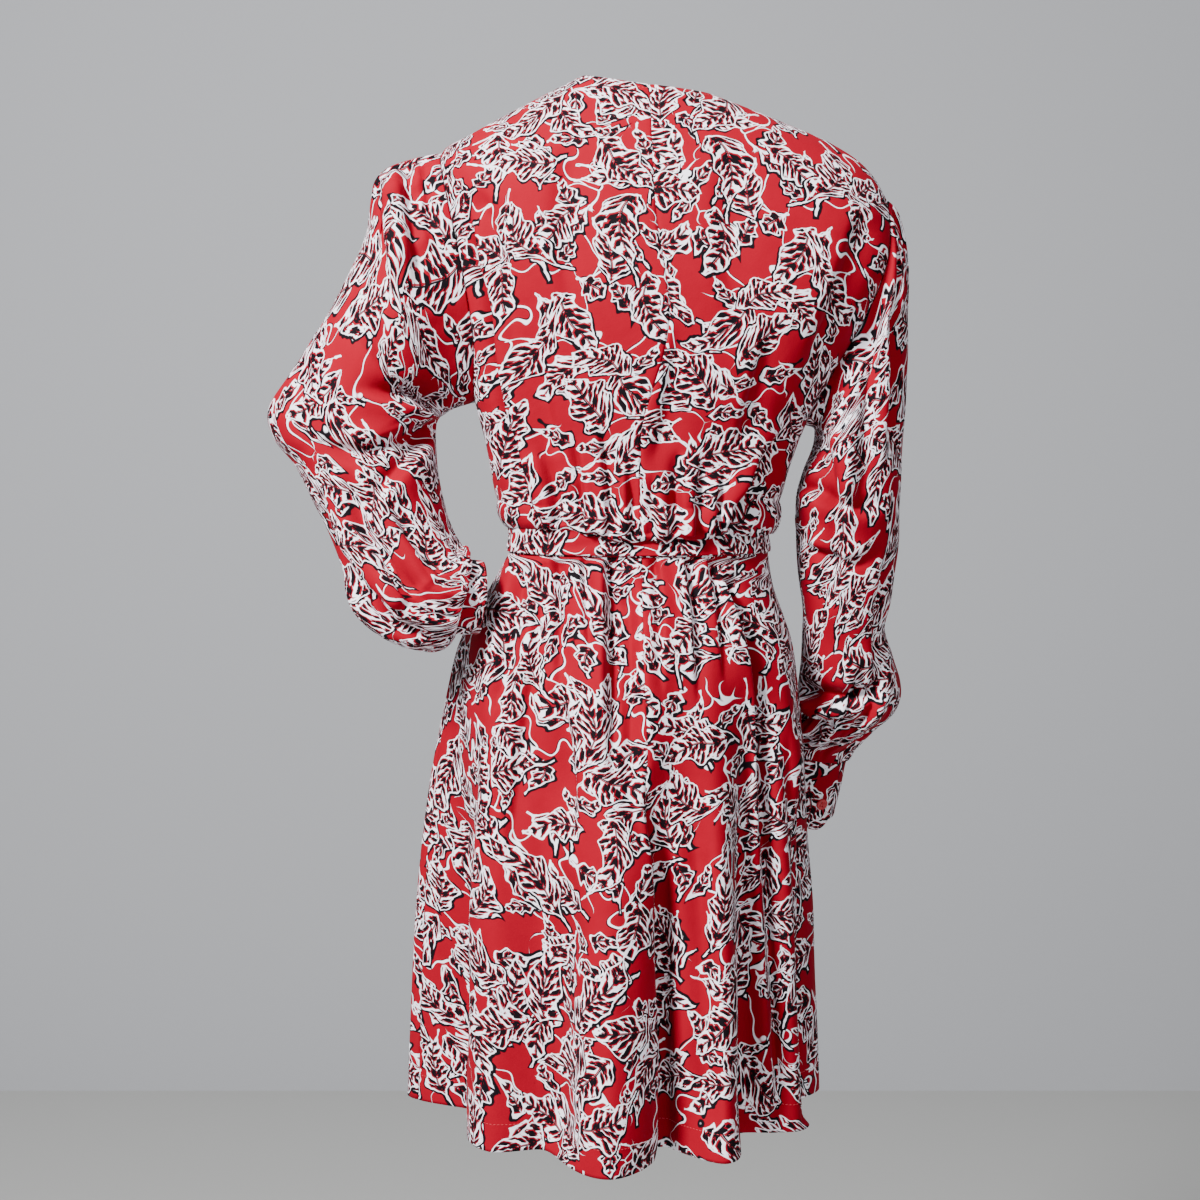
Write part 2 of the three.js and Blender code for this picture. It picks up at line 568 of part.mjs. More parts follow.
function buttonGeometry() {
  const disc = new THREE.Shape();
  disc.absarc(0, 0, BUTTON_RADIUS - BUTTON_BEVEL, 0, WHOLE_TURN);
  for (const turn of [45, 135, 225, 315]) {
    const hole = new THREE.Path();
    const x = BUTTON_HOLE_REACH * Math.cos(turn * DEGREE);
    const y = BUTTON_HOLE_REACH * Math.sin(turn * DEGREE);
    hole.absarc(x, y, BUTTON_HOLE_RADIUS, 0, WHOLE_TURN, true);
    disc.holes.push(hole);
  }
  return new THREE.ExtrudeGeometry(disc, {
    depth: BUTTON_THICKNESS - 2 * BUTTON_BEVEL, curveSegments: 6, bevelThickness: BUTTON_BEVEL,
    bevelSize: BUTTON_BEVEL, bevelSegments: 1,
  });
}

// The button lies on the flap, clear of it by a seam's gap.
function cuffButton(name, cuff) {
  const { axis, length } = cuffFrame(cuff);
  const place = cuffSurface(cuff)(length - BUTTON_INSET, BUTTON_DEPTH);
  const outward = place.clone().sub(cuff.top);
  outward.addScaledVector(axis, -outward.dot(axis)).normalize();
  const button = named(name, buttonGeometry(), new THREE.MeshStandardMaterial(BUTTON_FINISH));
  button.position.copy(place).addScaledVector(outward, CUFF_WALL / 2 + SEAM_GAP + BUTTON_BEVEL);
  button.quaternion.setFromUnitVectors(new THREE.Vector3(0, 0, 1), outward);
  return button;
}

// How far the belt's middle lies out from the bodice: further where the over front passes below it.
function beltLift(angle) {
  const over = smooth((angle - BELT_OVER.start) / BELT_OVER.rise)
    * (1 - smooth((angle - BELT_OVER.end) / BELT_OVER.rise));
  return WALL / 2 + BELT_CLEARANCE + BELT_WALL / 2 + LAYER_LIFT * over;
}

function beltBand() {
  const turns = steps(0, WHOLE_TURN, BELT_COLUMNS).slice(0, -1);
  const layer = (height) => [BELT_RINGS.top, BELT_RINGS.bottom].map((ring) => turns.map((turn) => (
    lifted(torso, turn, ring, beltLift(turn) + height))));
  return wall(layer(BELT_WALL / 2), layer(-BELT_WALL / 2), true);
}

// The knot lies on the band in front, on the wearer's left.
function beltKnot() {
  const ring = (BELT_RINGS.top + BELT_RINGS.bottom) / 2;
  const lift = beltLift(BELT_KNOT.angle) + BELT_WALL / 2;
  const face = lifted(torso, BELT_KNOT.angle, BELT_RINGS.top, lift)
    .lerp(lifted(torso, BELT_KNOT.angle, BELT_RINGS.bottom, lift), 0.5);
  const outward = lifted(torso, BELT_KNOT.angle, ring, 1).sub(torso(BELT_KNOT.angle, ring)).normalize();
  const knot = named("belt_knot", new THREE.SphereGeometry(1, 14, 8), cloth());
  knot.scale.set(BELT_KNOT.halfWidth, BELT_KNOT.halfHeight, BELT_KNOT.halfDepth);
  knot.position.copy(face).addScaledVector(outward, BELT_KNOT.halfDepth + SEAM_GAP);
  knot.up.set(0, 0, 1);
  knot.lookAt(knot.position.clone().add(outward));
  return knot;
}

// A hanging end of the belt lies on the over front of the skirt and narrows into the knot.
function beltEnd(end) {
  const spots = steps(BELT_END_START, end.down, BELT_END_STEPS).map((down) => [-1, 0, 1].map((side) => {
    const narrowing = 1 - BELT_END_NARROWING * (1 - smooth(down / BELT_END_NARROW_LENGTH));
    const turn = (narrowing * BELT_WIDTH) / 2 / skirt(end.angle, down).setZ(0).length();
    return { first: end.angle + side * turn, second: down, lift: BELT_END_LIFT };
  }));
  return clothPanel(skirt, spots, {});
}

function named(name, geometry, material) {
  const mesh = new THREE.Mesh(geometry, material);
  mesh.name = name;
  return mesh;
}

const clothPieces = {
  bodice_back_left: bodiceBack(ARMHOLES.left),
  bodice_back_right: bodiceBack(ARMHOLES.right),
  bodice_front_right: bodiceFrontOver(),
  bodice_front_left: bodiceFrontUnder(),
  skirt_back_left: skirtPanel(() => 0, backSeam, SKIRT_BACK_COLUMNS, 0, 0),
  skirt_back_right: skirtPanel(backSeam, () => RIGHT, SKIRT_BACK_COLUMNS, 0, 0),
  skirt_front_right: skirtPanel(() => RIGHT, () => OVER_SKIRT_EDGE, SKIRT_FRONT_COLUMNS, RIGHT, LAYER_LIFT),
  skirt_front_left: skirtPanel(() => UNDER_SKIRT_EDGE, () => LEFT, SKIRT_FRONT_COLUMNS, LEFT, -LAYER_LIFT),
  sleeve_left: sleeve(ARMHOLES.left, SLEEVE_LEFT_SECTIONS, CUFFS.left, LEFT_CUFF_TURN),
  sleeve_right: sleeve(ARMHOLES.right, SLEEVE_RIGHT_SECTIONS, CUFFS.right, RIGHT_CUFF_TURN),
  cuff_left: cuffPiece(CUFFS.left),
  cuff_right: cuffPiece(CUFFS.right),
  belt_band: beltBand(),
  belt_end_a: beltEnd(BELT_ENDS.a),
  belt_end_b: beltEnd(BELT_ENDS.b),
};

const dress = new THREE.Group();
for (const [name, geometry] of Object.entries(clothPieces)) {
  dress.add(named(name, geometry, cloth()));
}
dress.add(beltKnot());
dress.add(cuffButton("cuff_button_left", CUFFS.left));
dress.add(cuffButton("cuff_button_right", CUFFS.right));

export default dress;
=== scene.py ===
"""Wrap dress with bishop sleeves: its cloth, print, buttons and stitching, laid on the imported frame.

The front faces -Y and the wearer's left is +X. Tables and surfaces are in millimetres, objects in metres.
"""
import math

import bmesh
import bpy
import numpy as np
from mathutils import Matrix, Vector


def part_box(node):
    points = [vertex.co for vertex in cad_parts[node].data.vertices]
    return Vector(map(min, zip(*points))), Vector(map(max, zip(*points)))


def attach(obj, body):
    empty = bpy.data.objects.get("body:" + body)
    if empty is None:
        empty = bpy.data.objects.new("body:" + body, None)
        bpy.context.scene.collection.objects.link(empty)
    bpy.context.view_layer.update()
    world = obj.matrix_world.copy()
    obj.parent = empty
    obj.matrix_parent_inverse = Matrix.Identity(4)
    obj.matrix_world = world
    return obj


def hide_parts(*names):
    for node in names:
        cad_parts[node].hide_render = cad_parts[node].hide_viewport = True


bl_info = {
    "name": "Wrap Dress",
    "version": (1, 0, 0),
    "blender": (4, 5, 0),
    "location": "View3D > Sidebar > Dress",
    "description": "Lays printed cloth, buttons and stitching on the frame of a wrap dress",
    "category": "Object",
}

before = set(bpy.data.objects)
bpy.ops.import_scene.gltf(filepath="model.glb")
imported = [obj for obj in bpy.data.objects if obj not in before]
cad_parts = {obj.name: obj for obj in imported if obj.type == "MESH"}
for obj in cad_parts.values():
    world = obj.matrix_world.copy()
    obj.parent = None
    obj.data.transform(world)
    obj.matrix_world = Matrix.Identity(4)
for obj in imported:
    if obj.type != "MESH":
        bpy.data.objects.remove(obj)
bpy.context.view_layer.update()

MM = 0.001
TURN = 2 * math.pi
BACK = math.pi / 2
RIGHT = math.pi


def columns_of(names, rows):
    """A table's named columns, each an array of numbers."""
    return {name: np.array(values, float) for name, values in zip(names.split(), zip(*rows))}


# Rings of the bodice from the neck down to the waist seam: how far each reaches, and its height there.
TORSO = columns_of("left right back front z_left z_right z_back z_front", (
    (56, -75, 44, -62, 13, -6, 0, -66),
    (92, -114, 60, -80, -5, -21, -26, -92),
    (128, -151, 80, -100, -24, -36, -62, -120),
    (163, -189, 93, -115, -43, -53, -100, -150),
    (190, -222, 102, -126, -60, -77, -140, -180),
    (196, -243, 107, -133, -90, -116, -182, -208),
    (192, -246, 108, -136, -132, -162, -220, -236),
    (182, -226, 106, -134, -182, -215, -256, -264),
    (169, -192, 102, -127, -236, -272, -291, -294),
    (160, -164, 97, -119, -290, -318, -324, -325),
    (147, -148, 93, -111, -342, -358, -359, -360),
    (137, -137, 93, -108, -392, -394, -396, -396),
    (123, -124, 85, -98, -420, -420, -421, -420),
    (124, -125, 86, -98, -446, -446, -446, -446),
))
TORSO_ROUNDNESS = 2.25
WAIST_RING = 13

# Rings of the skirt from the waist seam to the hem, and the crests and troughs of its flare.
SKIRT = columns_of("z left right back front", (
    (-446, 124, -125, 86, -98),
    (-462, 133, -127, 91, -103),
    (-482, 144, -131, 99, -109),
    (-507, 158, -140, 109, -116),
    (-540, 174, -151, 120, -123),
    (-595, 186, -159, 130, -132),
    (-655, 197, -163, 138, -139),
    (-725, 206, -166, 147, -145),
    (-800, 212, -170, 155, -151),
    (-890, 216, -173, 163, -156),
    (-978, 219, -176, 170, -160),
))
SKIRT_FOLDS = columns_of("angle out start", (
    (-6, 7, 0.1), (15, -56, 0.3), (54, 0, 0.3), (66, -26, 0.35), (88, 34, 0.3), (106, -36, 0.35),
    (117, 16, 0.35), (137, -40, 0.12), (153, 4, 0.2), (173, -30, 0.3), (194, 8, 0.2), (211, -24, 0.3),
    (228, 15, 0.25), (247, -22, 0.35), (265, 18, 0.2), (284, -25, 0.3), (302, 14, 0.25), (323, -24, 0.35),
))
SKIRT_BACK_SEAM_SHIFT = math.radians(10)
OVER_SKIRT_EDGE = math.radians(324)
UNDER_SKIRT_EDGE = math.radians(216)

# Armholes: the rings where each starts and ends, and its reach round the ring behind and in front.
ARMHOLES = {
    "left": {"side": 0.0, "turn": 1, "top": 4.0, "bottom": 9.2, "behind": math.radians(26), "front": math.radians(31)},
    "right": {"side": RIGHT, "turn": -1, "top": 4.7, "bottom": 9.1, "behind": math.radians(20), "front": math.radians(29)},
}

# The straight edges of the two fronts, from the shoulder's neck point to the waist.
WRAP_EDGES = {
    "over": {"neck_x": -78, "neck_z": -6, "waist_x": 88, "waist_z": -446},
    "under": {"neck_x": 59, "neck_z": 13, "waist_x": -88, "waist_z": -446},
}
LAYER_LIFT = 1.5

# Sections of the sleeves: the two ends of each as seen from behind, its middle from front to back, half
# its depth, its turn, and how deep its gathers are.
SLEEVE_COLUMNS = "out_x out_z in_x in_z y deep swing gather"
SLEEVES = {
    "left": columns_of(SLEEVE_COLUMNS, (
        (191, -62, 162, -302, -12, 63, 0, 0),
        (220, -70, 176, -305, -9, 70, 0, 0),
        (253, -88, 184, -308, -4, 78, 0, 0),
        (263, -140, 189, -312, 1, 78, 0, 0),
        (291, -202, 192, -314, 8, 74, 0, 0),
        (328, -264, 193, -316, 15, 68, 0, 0),
        (354, -306, 194, -319, 21, 63, 0, 0),
        (349, -336, 195, -326, 25, 60, 0, 0),
        (326, -364, 194, -346, 30, 59, 0, 0),
        (302, -408, 189, -382, 38, 59, 2, 0),
        (282, -452, 180, -418, 46, 61, 4, 0.5),
        (268, -496, 170, -438, 54, 61, 8, 1.5),
        (232, -525, 164, -441, 58, 57, 12, 2.5),
        (196, -535, 161, -443, 58, 50, 16, 2.5),
    )),
    "right": columns_of(SLEEVE_COLUMNS, (
        (-238, -104, -162, -322, -15, 56, 0, 0),
        (-251, -122, -172, -327, -13, 60, 0, 0),
        (-260, -160, -173, -338, -9, 64, 0, 0),
        (-262, -218, -168, -352, -4, 63, 0, 0),
        (-260, -280, -160, -370, 0, 60, 0, 0),
        (-256, -332, -154, -393, 1, 57, 0, 0),
        (-254, -386, -155, -422, -1, 55, 2, 0),
        (-253, -436, -156, -452, -6, 53, 4, 0),
        (-247, -490, -161, -493, -16, 50, 6, 0),
        (-243, -522, -163, -521, -26, 48, 8, 0),
        (-252, -548, -163, -546, -35, 51, 9, 0),
        (-261, -576, -163, -573, -45, 54, 10, 0.5),
        (-259, -600, -162, -598, -54, 54, 11, 1.5),
        (-242, -618, -156, -622, -66, 48, 12, 2.5),
    )),
}
# The sleeve's last sections round the cuff: how far past its top edge, how wide, and their gathers.
CUFF_TURNS = {
    "left": ((44, 44, 1.5), (42, 40, 0.8), (34, 38.5, 0.5), (6, 36.6, 0)),
    "right": ((-9, 41, 2), (5, 36.6, 0)),
}
GATHERS = 10
HEAD_GATHER_DEPTH = 4

CUFFS = {
    "left": {"top": (218, 72, -480), "end": (151, 55, -486), "way": 1, "flap": math.radians(180), "drop": 0},
    "right": {"top": (-182, -82, -645), "end": (-169, -98, -714), "way": -1, "flap": math.radians(-46), "drop": 9},
}
CUFF_DEPTH = 70
CUFF_RADIUS = 34
CUFF_LAP = 36
CUFF_WALL = 2.2
CUFF_CORNER = 16
CUFF_LENGTH = TURN * CUFF_RADIUS + CUFF_LAP

BELT_TOP_RING = 11.97
BELT_FOOT_RING = 12.92
BELT_WALL = 2.0
BELT_ENDS = {"belt_end_a": (math.radians(304.5), 0.7, 0.28), "belt_end_b": (math.radians(317.5), 0.62, 0.23)}
BELT_WIDTH = 25

# How far the bodice's fullness hangs over the belt, round the waist.
BLOUSE_HANG = columns_of("angle hang", (
    (0, 3), (50, 2), (64, 2), (74, 10), (88, 13), (104, 11), (120, 9), (150, 9), (180, 8), (225, 8),
    (270, 10), (320, 4), (360, 3),
))

# Creases listed one by one, as seen from behind (x, z). Each has its depth, its half width, the height of the
# ridge beside it (above zero on the side of +X), how much of its run it fades in and out over, and its run.
CREASES = {
    "bodice_back": (
        (18, 7, -0.5, 0.15, 0.2, ((164, -120), (152, -172), (141, -215), (135, -262), (127, -306), (116, -342), (107, -378), (101, -412))),
        (8, 10, 0.5, 0.3, 0.3, ((-142, -322), (-122, -352), (-106, -385), (-98, -410))),
        (10.5, 7, 0.6, 0.3, 0.1, ((-116, -350), (-102, -383), (-90, -400), (-80, -414))),
        (9, 6, 0.5, 0.5, 0.05, ((92, -340), (80, -390), (76, -414))),
        (8, 5, -0.5, 0.4, 0.05, ((62, -330), (55, -380), (52, -414))),
        (6.5, 4, 0.5, 0.3, 0.05, ((38, -318), (31, -378), (29, -414))),
        (8, 5, 0.5, 0.5, 0.05, ((12, -355), (9, -392), (8, -414))),
        (6.5, 5, -0.5, 0.5, 0.05, ((-12, -368), (-13, -414))),
        (10.5, 6, -0.5, 0.5, 0.05, ((-35, -345), (-34, -414))),
        (8, 5, 0.4, 0.5, 0.05, ((-59, -345), (-53, -388), (-51, -414))),
        (8, 5, 0.5, 0.5, 0.05, ((-78, -365), (-69, -414))),
        (6.5, 17, 0.5, 0.2, 0.4, ((-214, -120), (-186, -200), (-152, -290))),
        (5, 15, -0.4, 0.2, 0.4, ((152, -100), (130, -170), (116, -262))),
        (4, 18, 0.5, 0.3, 0.4, ((62, -50), (72, -140), (60, -240))),
        (4, 22, 0.4, 0.3, 0.4, ((-92, -50), (-80, -150), (-94, -250))),
        (5, 14, 0.5, 0.4, 0.3, ((-36, -225), (-28, -300), (-12, -365))),
        (5, 12, -0.4, 0.4, 0.3, ((98, -245), (86, -310), (76, -355))),
        (6, 12, 0.4, 0.4, 0.3, ((-126, -222), (-106, -290), (-92, -348))),
    ),
    "bodice_front": (
        (5, 10, 0.5, 0.2, 0.3, ((-60, -60), (-40, -160), (0, -280), (50, -380))),
        (5, 9, -0.5, 0.2, 0.3, ((-120, -90), (-90, -200), (-30, -330), (30, -405))),
        (4, 12, 0.4, 0.3, 0.3, ((-165, -190), (-120, -260), (-88, -350))),
        (4, 10, 0.4, 0.3, 0.3, ((78, -90), (92, -180), (84, -300))),
        (8, 8, -0.5, 0.3, 0.2, ((146, -260), (128, -330), (104, -405))),
        (8, 7, 0.5, 0.3, 0.2, ((-140, -300), (-120, -360), (-96, -410))),
        (7, 5, 0.5, 0.5, 0.05, ((-68, -345), (-62, -414))),
        (5, 5, -0.4, 0.5, 0.05, ((-34, -368), (-32, -414))),
        (6, 5, 0.4, 0.5, 0.05, ((-4, -355), (-2, -414))),
        (5, 5, 0.5, 0.5, 0.05, ((28, -370), (26, -414))),
        (6, 6, -0.5, 0.5, 0.05, ((62, -345), (58, -414))),
    ),
    "skirt_back": (
        (18, 7, 0.6, 0.04, 0.1, ((-80, -462), (-95, -515), (-106, -570), (-110, -626), (-115, -708), (-121, -825), (-130, -985))),
        (11.5, 6, 0.6, 0.03, 0.5, ((29, -446), (29, -518), (28, -590), (25, -660))),
        (10.5, 14, -0.4, 0.1, 0.4, ((12, -470), (8, -554), (7, -645), (3, -730))),
        (13, 9, 0.6, 0.3, 0.1, ((-4, -625), (-12, -740), (-14, -844), (-15, -995))),
        (8, 7, 0.5, 0.05, 0.5, ((78, -447), (77, -500), (73, -575))),
        (8, 9, -0.4, 0.3, 0.4, ((74, -560), (65, -620), (60, -700))),
        (9, 9, 0.5, 0.1, 0.4, ((108, -452), (121, -518), (137, -610))),
        (8, 10, 0.4, 0.1, 0.4, ((88, -448), (97, -527), (110, -626), (124, -770))),
        (8, 6, 0.5, 0.05, 0.5, ((-44, -446), (-50, -500), (-54, -590))),
        (8, 6, 0.4, 0.05, 0.5, ((-66, -446), (-72, -500), (-79, -565))),
        (6.5, 5, 0.4, 0.05, 0.5, ((53, -446), (50, -490), (45, -555))),
        (6.5, 5, -0.4, 0.05, 0.5, ((-14, -446), (-17, -500), (-18, -575))),
        (11, 9, -0.6, 0.3, 0.05, ((-138, -600), (-149, -700), (-155, -800), (-160, -985))),
        (9, 14, 0.4, 0.4, 0.2, ((-42, -620), (-50, -760), (-56, -960))),
        (8, 13, -0.4, 0.4, 0.2, ((150, -600), (162, -740), (166, -940))),
        (9, 14, 0.4, 0.4, 0.15, ((66, -700), (74, -820), (78, -980))),
    ),
    "skirt_front": (
        (7, 8, 0.5, 0.1, 0.4, ((60, -450), (66, -540), (70, -680))),
        (5, 6, -0.4, 0.05, 0.5, ((20, -448), (18, -570))),
        (8, 8, 0.5, 0.1, 0.4, ((-30, -450), (-36, -580), (-34, -740))),
        (8, 9, -0.4, 0.1, 0.4, ((-75, -452), (-90, -560), (-98, -740))),
        (6, 8, 0.4, 0.1, 0.4, ((100, -455), (118, -560), (124, -700))),
        (6, 12, 0.4, 0.3, 0.2, ((-10, -620), (-14, -760), (-16, -940))),
    ),
    "sleeve_left_back": (
        (16, 9, 0.6, 0.5, 0.05, ((268, -286), (232, -294), (210, -298), (190, -311))),
        (10, 9, -0.5, 0.3, 0.1, ((316, -334), (266, -346), (226, -336), (194, -318))),
        (10, 9, 0.5, 0.4, 0.1, ((262, -412), (226, -366), (197, -330))),
        (7.5, 12, 0.4, 0.4, 0.1, ((274, -214), (236, -262), (203, -302))),
        (9, 9, 0.5, 0.3, 0.1, ((280, -360), (250, -430), (206, -480))),
        (9, 8, -0.5, 0.3, 0.1, ((298, -395), (268, -455), (222, -498))),
        (7.5, 7, 0.5, 0.3, 0.1, ((238, -382), (210, -428), (180, -462))),
        (7.5, 7, 0.5, 0.3, 0.1, ((276, -455), (240, -502), (198, -518))),
        (9, 8, 0.5, 0.05, 0.4, ((224, -76), (216, -130), (206, -200))),
        (7.5, 8, -0.4, 0.05, 0.4, ((248, -92), (243, -150), (228, -225))),
        (6, 7, 0.4, 0.05, 0.5, ((206, -72), (200, -115), (192, -170))),
        (5, 15, 0.4, 0.3, 0.3, ((310, -256), (318, -300), (302, -346))),
    ),
    "sleeve_left_front": (
        (9, 9, 0.5, 0.3, 0.1, ((298, -300), (250, -305), (196, -313))),
        (6, 8, -0.5, 0.3, 0.1, ((262, -380), (228, -350), (198, -322))),
        (6, 8, 0.5, 0.3, 0.1, ((268, -400), (240, -450), (205, -490))),
        (5, 10, 0.4, 0.1, 0.4, ((250, -110), (235, -200), (215, -270))),
        (5, 7, -0.5, 0.3, 0.1, ((240, -400), (214, -440), (184, -470))),
    ),
    "sleeve_right_back": (
        (10, 13, 0.5, 0.15, 0.3, ((-206, -128), (-215, -231), (-212, -328), (-207, -430))),
        (9, 10, -0.5, 0.3, 0.3, ((-176, -322), (-186, -415), (-184, -505))),
        (7.5, 9, 0.4, 0.3, 0.3, ((-240, -190), (-243, -280), (-236, -370))),
        (9, 8, 0.5, 0.1, 0.4, ((-158, -380), (-195, -402), (-240, -396))),
        (7.5, 7, -0.5, 0.1, 0.4, ((-160, -440), (-196, -452), (-234, -438))),
        (7.5, 8, 0.5, 0.3, 0.2, ((-238, -440), (-228, -510), (-232, -565))),
        (14, 8, 0.6, 0.1, 0.3, ((-160, -586), (-196, -589), (-246, -580))),
        (11, 8, -0.5, 0.1, 0.3, ((-160, -608), (-178, -612), (-200, -606))),
        (7.5, 6, 0.5, 0.3, 0.1, ((-216, -550), (-206, -590), (-194, -622))),
        (7.5, 6, -0.5, 0.3, 0.1, ((-240, -556), (-226, -596), (-208, -624))),
        (7.5, 8, 0.4, 0.05, 0.4, ((-230, -112), (-227, -160), (-215, -220))),
        (6, 6, 0.4, 0.05, 0.5, ((-246, -116), (-248, -165), (-240, -225))),
    ),
    "sleeve_right_front": (
        (7, 12, 0.5, 0.2, 0.3, ((-200, -150), (-208, -260), (-204, -370))),
        (6, 9, -0.5, 0.3, 0.3, ((-178, -330), (-186, -430), (-184, -515))),
        (6, 8, 0.5, 0.1, 0.4, ((-160, -400), (-200, -420), (-240, -410))),
        (7, 8, 0.5, 0.1, 0.3, ((-166, -584), (-200, -590), (-244, -584))),
        (5, 6, -0.5, 0.3, 0.1, ((-218, -550), (-206, -590), (-194, -620))),
    ),
}


def along(values, position):
    """A smooth run through a column's values, by the row number."""
    position = np.asarray(position, float)
    last = len(values) - 1
    index = np.clip(np.floor(position).astype(int), 0, last - 1)
    part = position - index
    before, start, end, after = (values[np.clip(index + step, 0, last)] for step in (-1, 0, 1, 2))
    slope_start = (end - before) / 2
    slope_end = (after - start) / 2
    rest = end - start
    bend = 3 * rest - 2 * slope_start - slope_end + part * (slope_start + slope_end - 2 * rest)
    return start + part * (slope_start + part * bend)


def smooth(value):
    """0 below 0, 1 above 1, and an even rise between."""
    value = np.clip(value, 0, 1)
    return value * value * (3 - 2 * value)


def ring_place(left, right, back, front, roundness, angle):
    """x and y on a ring, at an angle from the wearer's left round the back to the right."""
    power = 2 / roundness
    across = np.sign(np.cos(angle)) * np.abs(np.cos(angle)) ** power
    deep = np.sign(np.sin(angle)) * np.abs(np.sin(angle)) ** power
    x = (left + right) / 2 + (left - right) / 2 * across
    return x, np.where(deep > 0, back * deep, -front * deep)


def torso(angle, ring):
    """The bodice's surface."""
    at = {name: along(values, ring) for name, values in TORSO.items()}
    x, y = ring_place(at["left"], at["right"], at["back"], at["front"], TORSO_ROUNDNESS, angle)
    middle = (at["z_left"] + at["z_right"]) / 2
    end = np.where(np.sin(angle) > 0, at["z_back"], at["z_front"])
    z = middle + (at["z_left"] - at["z_right"]) / 2 * np.cos(angle) + (end - middle) * np.sin(angle) ** 2
    return np.stack(np.broadcast_arrays(x, y, z), -1)


def fold_out(angle, down):
    """How far the skirt's flare stands out from its plain ring."""
    first = SKIRT_FOLDS["angle"][0]
    angles = np.append(SKIRT_FOLDS["angle"], first + 360)
    turned = (np.degrees(angle) - first) % 360 + first
    before = np.clip(np.searchsorted(angles, turned, side="right") - 1, 0, len(angles) - 2)
    after = (before + 1) % len(SKIRT_FOLDS["angle"])
    heights = [SKIRT_FOLDS["out"][fold] * smooth((down - SKIRT_FOLDS["start"][fold]) / (1 - SKIRT_FOLDS["start"][fold]))
               for fold in (before, after)]
    part = smooth((turned - angles[before]) / (angles[before + 1] - angles[before]))
    return heights[0] + (heights[1] - heights[0]) * part


def skirt(angle, down):
    """The skirt's surface: down is 0 at the waist seam and 1 at the hem."""
    angle, down = np.broadcast_arrays(angle, down)
    at = {name: along(values, down * (len(SKIRT["z"]) - 1)) for name, values in SKIRT.items()}
    roundness = TORSO_ROUNDNESS + (2 - TORSO_ROUNDNESS) * smooth(down * 2)
    x, y = ring_place(at["left"], at["right"], at["back"], at["front"], roundness, angle)
    from_middle = x - (at["left"] + at["right"]) / 2
    reach = 1 + fold_out(angle, down) / np.hypot(from_middle, y)
    return np.stack([x + from_middle * (reach - 1), y * reach, at["z"] * np.ones_like(x)], -1)


def normals_of(surface, first, second, side=1):
    """Unit vectors straight out of a surface."""
    step = 1e-3
    along_first = surface(first + step, second) - surface(first - step, second)
    along_second = surface(first, second + step) - surface(first, second - step)
    normal = np.cross(along_second, along_first) * side
    return normal / np.linalg.norm(normal, axis=-1, keepdims=True)


def crease_out(name, points, scale):
    """How far the cloth is moved out by a table's creases, at points that are seen along Y."""
    x, z = points[..., 0], points[..., 2]
    out = np.zeros_like(x)
    for depth, width, ridge, start_fade, end_fade, run in CREASES[name]:
        run = np.array(run, float)
        fine = np.linspace(0, len(run) - 1, 8 * (len(run) - 1) + 1)
        line = np.stack([along(run[:, 0], fine), along(run[:, 1], fine)], -1)
        nearest = np.full_like(x, np.inf)
        signed = np.zeros_like(x)
        place = np.zeros_like(x)
        for index, (start, end) in enumerate(zip(line[:-1], line[1:])):
            way = end - start
            length = np.hypot(*way)
            part = np.clip(((x - start[0]) * way[0] + (z - start[1]) * way[1]) / length ** 2, 0, 1)
            gap_x, gap_z = x - start[0] - part * way[0], z - start[1] - part * way[1]
            distance = np.hypot(gap_x, gap_z)
            closer = distance < nearest
            nearest = np.where(closer, distance, nearest)
            side = np.sign(way[0] * gap_z - way[1] * gap_x)
            signed = np.where(closer, distance * side, signed)
            place = np.where(closer, (index + part) / (len(line) - 1), place)
        fade = smooth(place / start_fade) * smooth((1 - place) / end_fade)
        # The wall under the ridge is steep, and both sides beyond are soft.
        side = signed * np.sign(ridge)
        trough = np.exp(-(side / np.where(side > 0, 0.45 * width, 1.2 * width)) ** 2)
        past = side - width
        crest = abs(ridge) * np.exp(-(past / np.where(past > 0, 1.9 * width, 0.5 * width)) ** 2)
        out += depth * fade * (crest - trough)
    return out * scale


def ripple(points, seed, size, height):
    """A soft unevenness of the cloth, the same each time."""
    rng = np.random.default_rng(seed)
    out = np.zeros(points.shape[:-1])
    for _ in range(7):
        way = rng.normal(size=3)
        way /= np.linalg.norm(way) * size * rng.uniform(0.7, 1.6)
        out += np.sin(points @ way * TURN + rng.uniform(0, TURN))
    return out * height / 3


def cut_lengths(points, reference):
    """Where each point lies on the flat cut, in millimetres: across from the reference column, and down."""
    across_steps = np.linalg.norm(np.diff(points[..., :2], axis=1), axis=-1)
    across = np.concatenate([np.zeros((len(points), 1)), np.cumsum(across_steps, axis=1)], axis=1)
    across -= across[:, reference][:, None]
    down_steps = np.linalg.norm(np.diff(points[..., 1:], axis=0), axis=-1)
    down = np.concatenate([np.zeros((1, points.shape[1])), np.cumsum(down_steps, axis=0)], axis=0)
    return np.stack([across, down - down[-1]], -1)


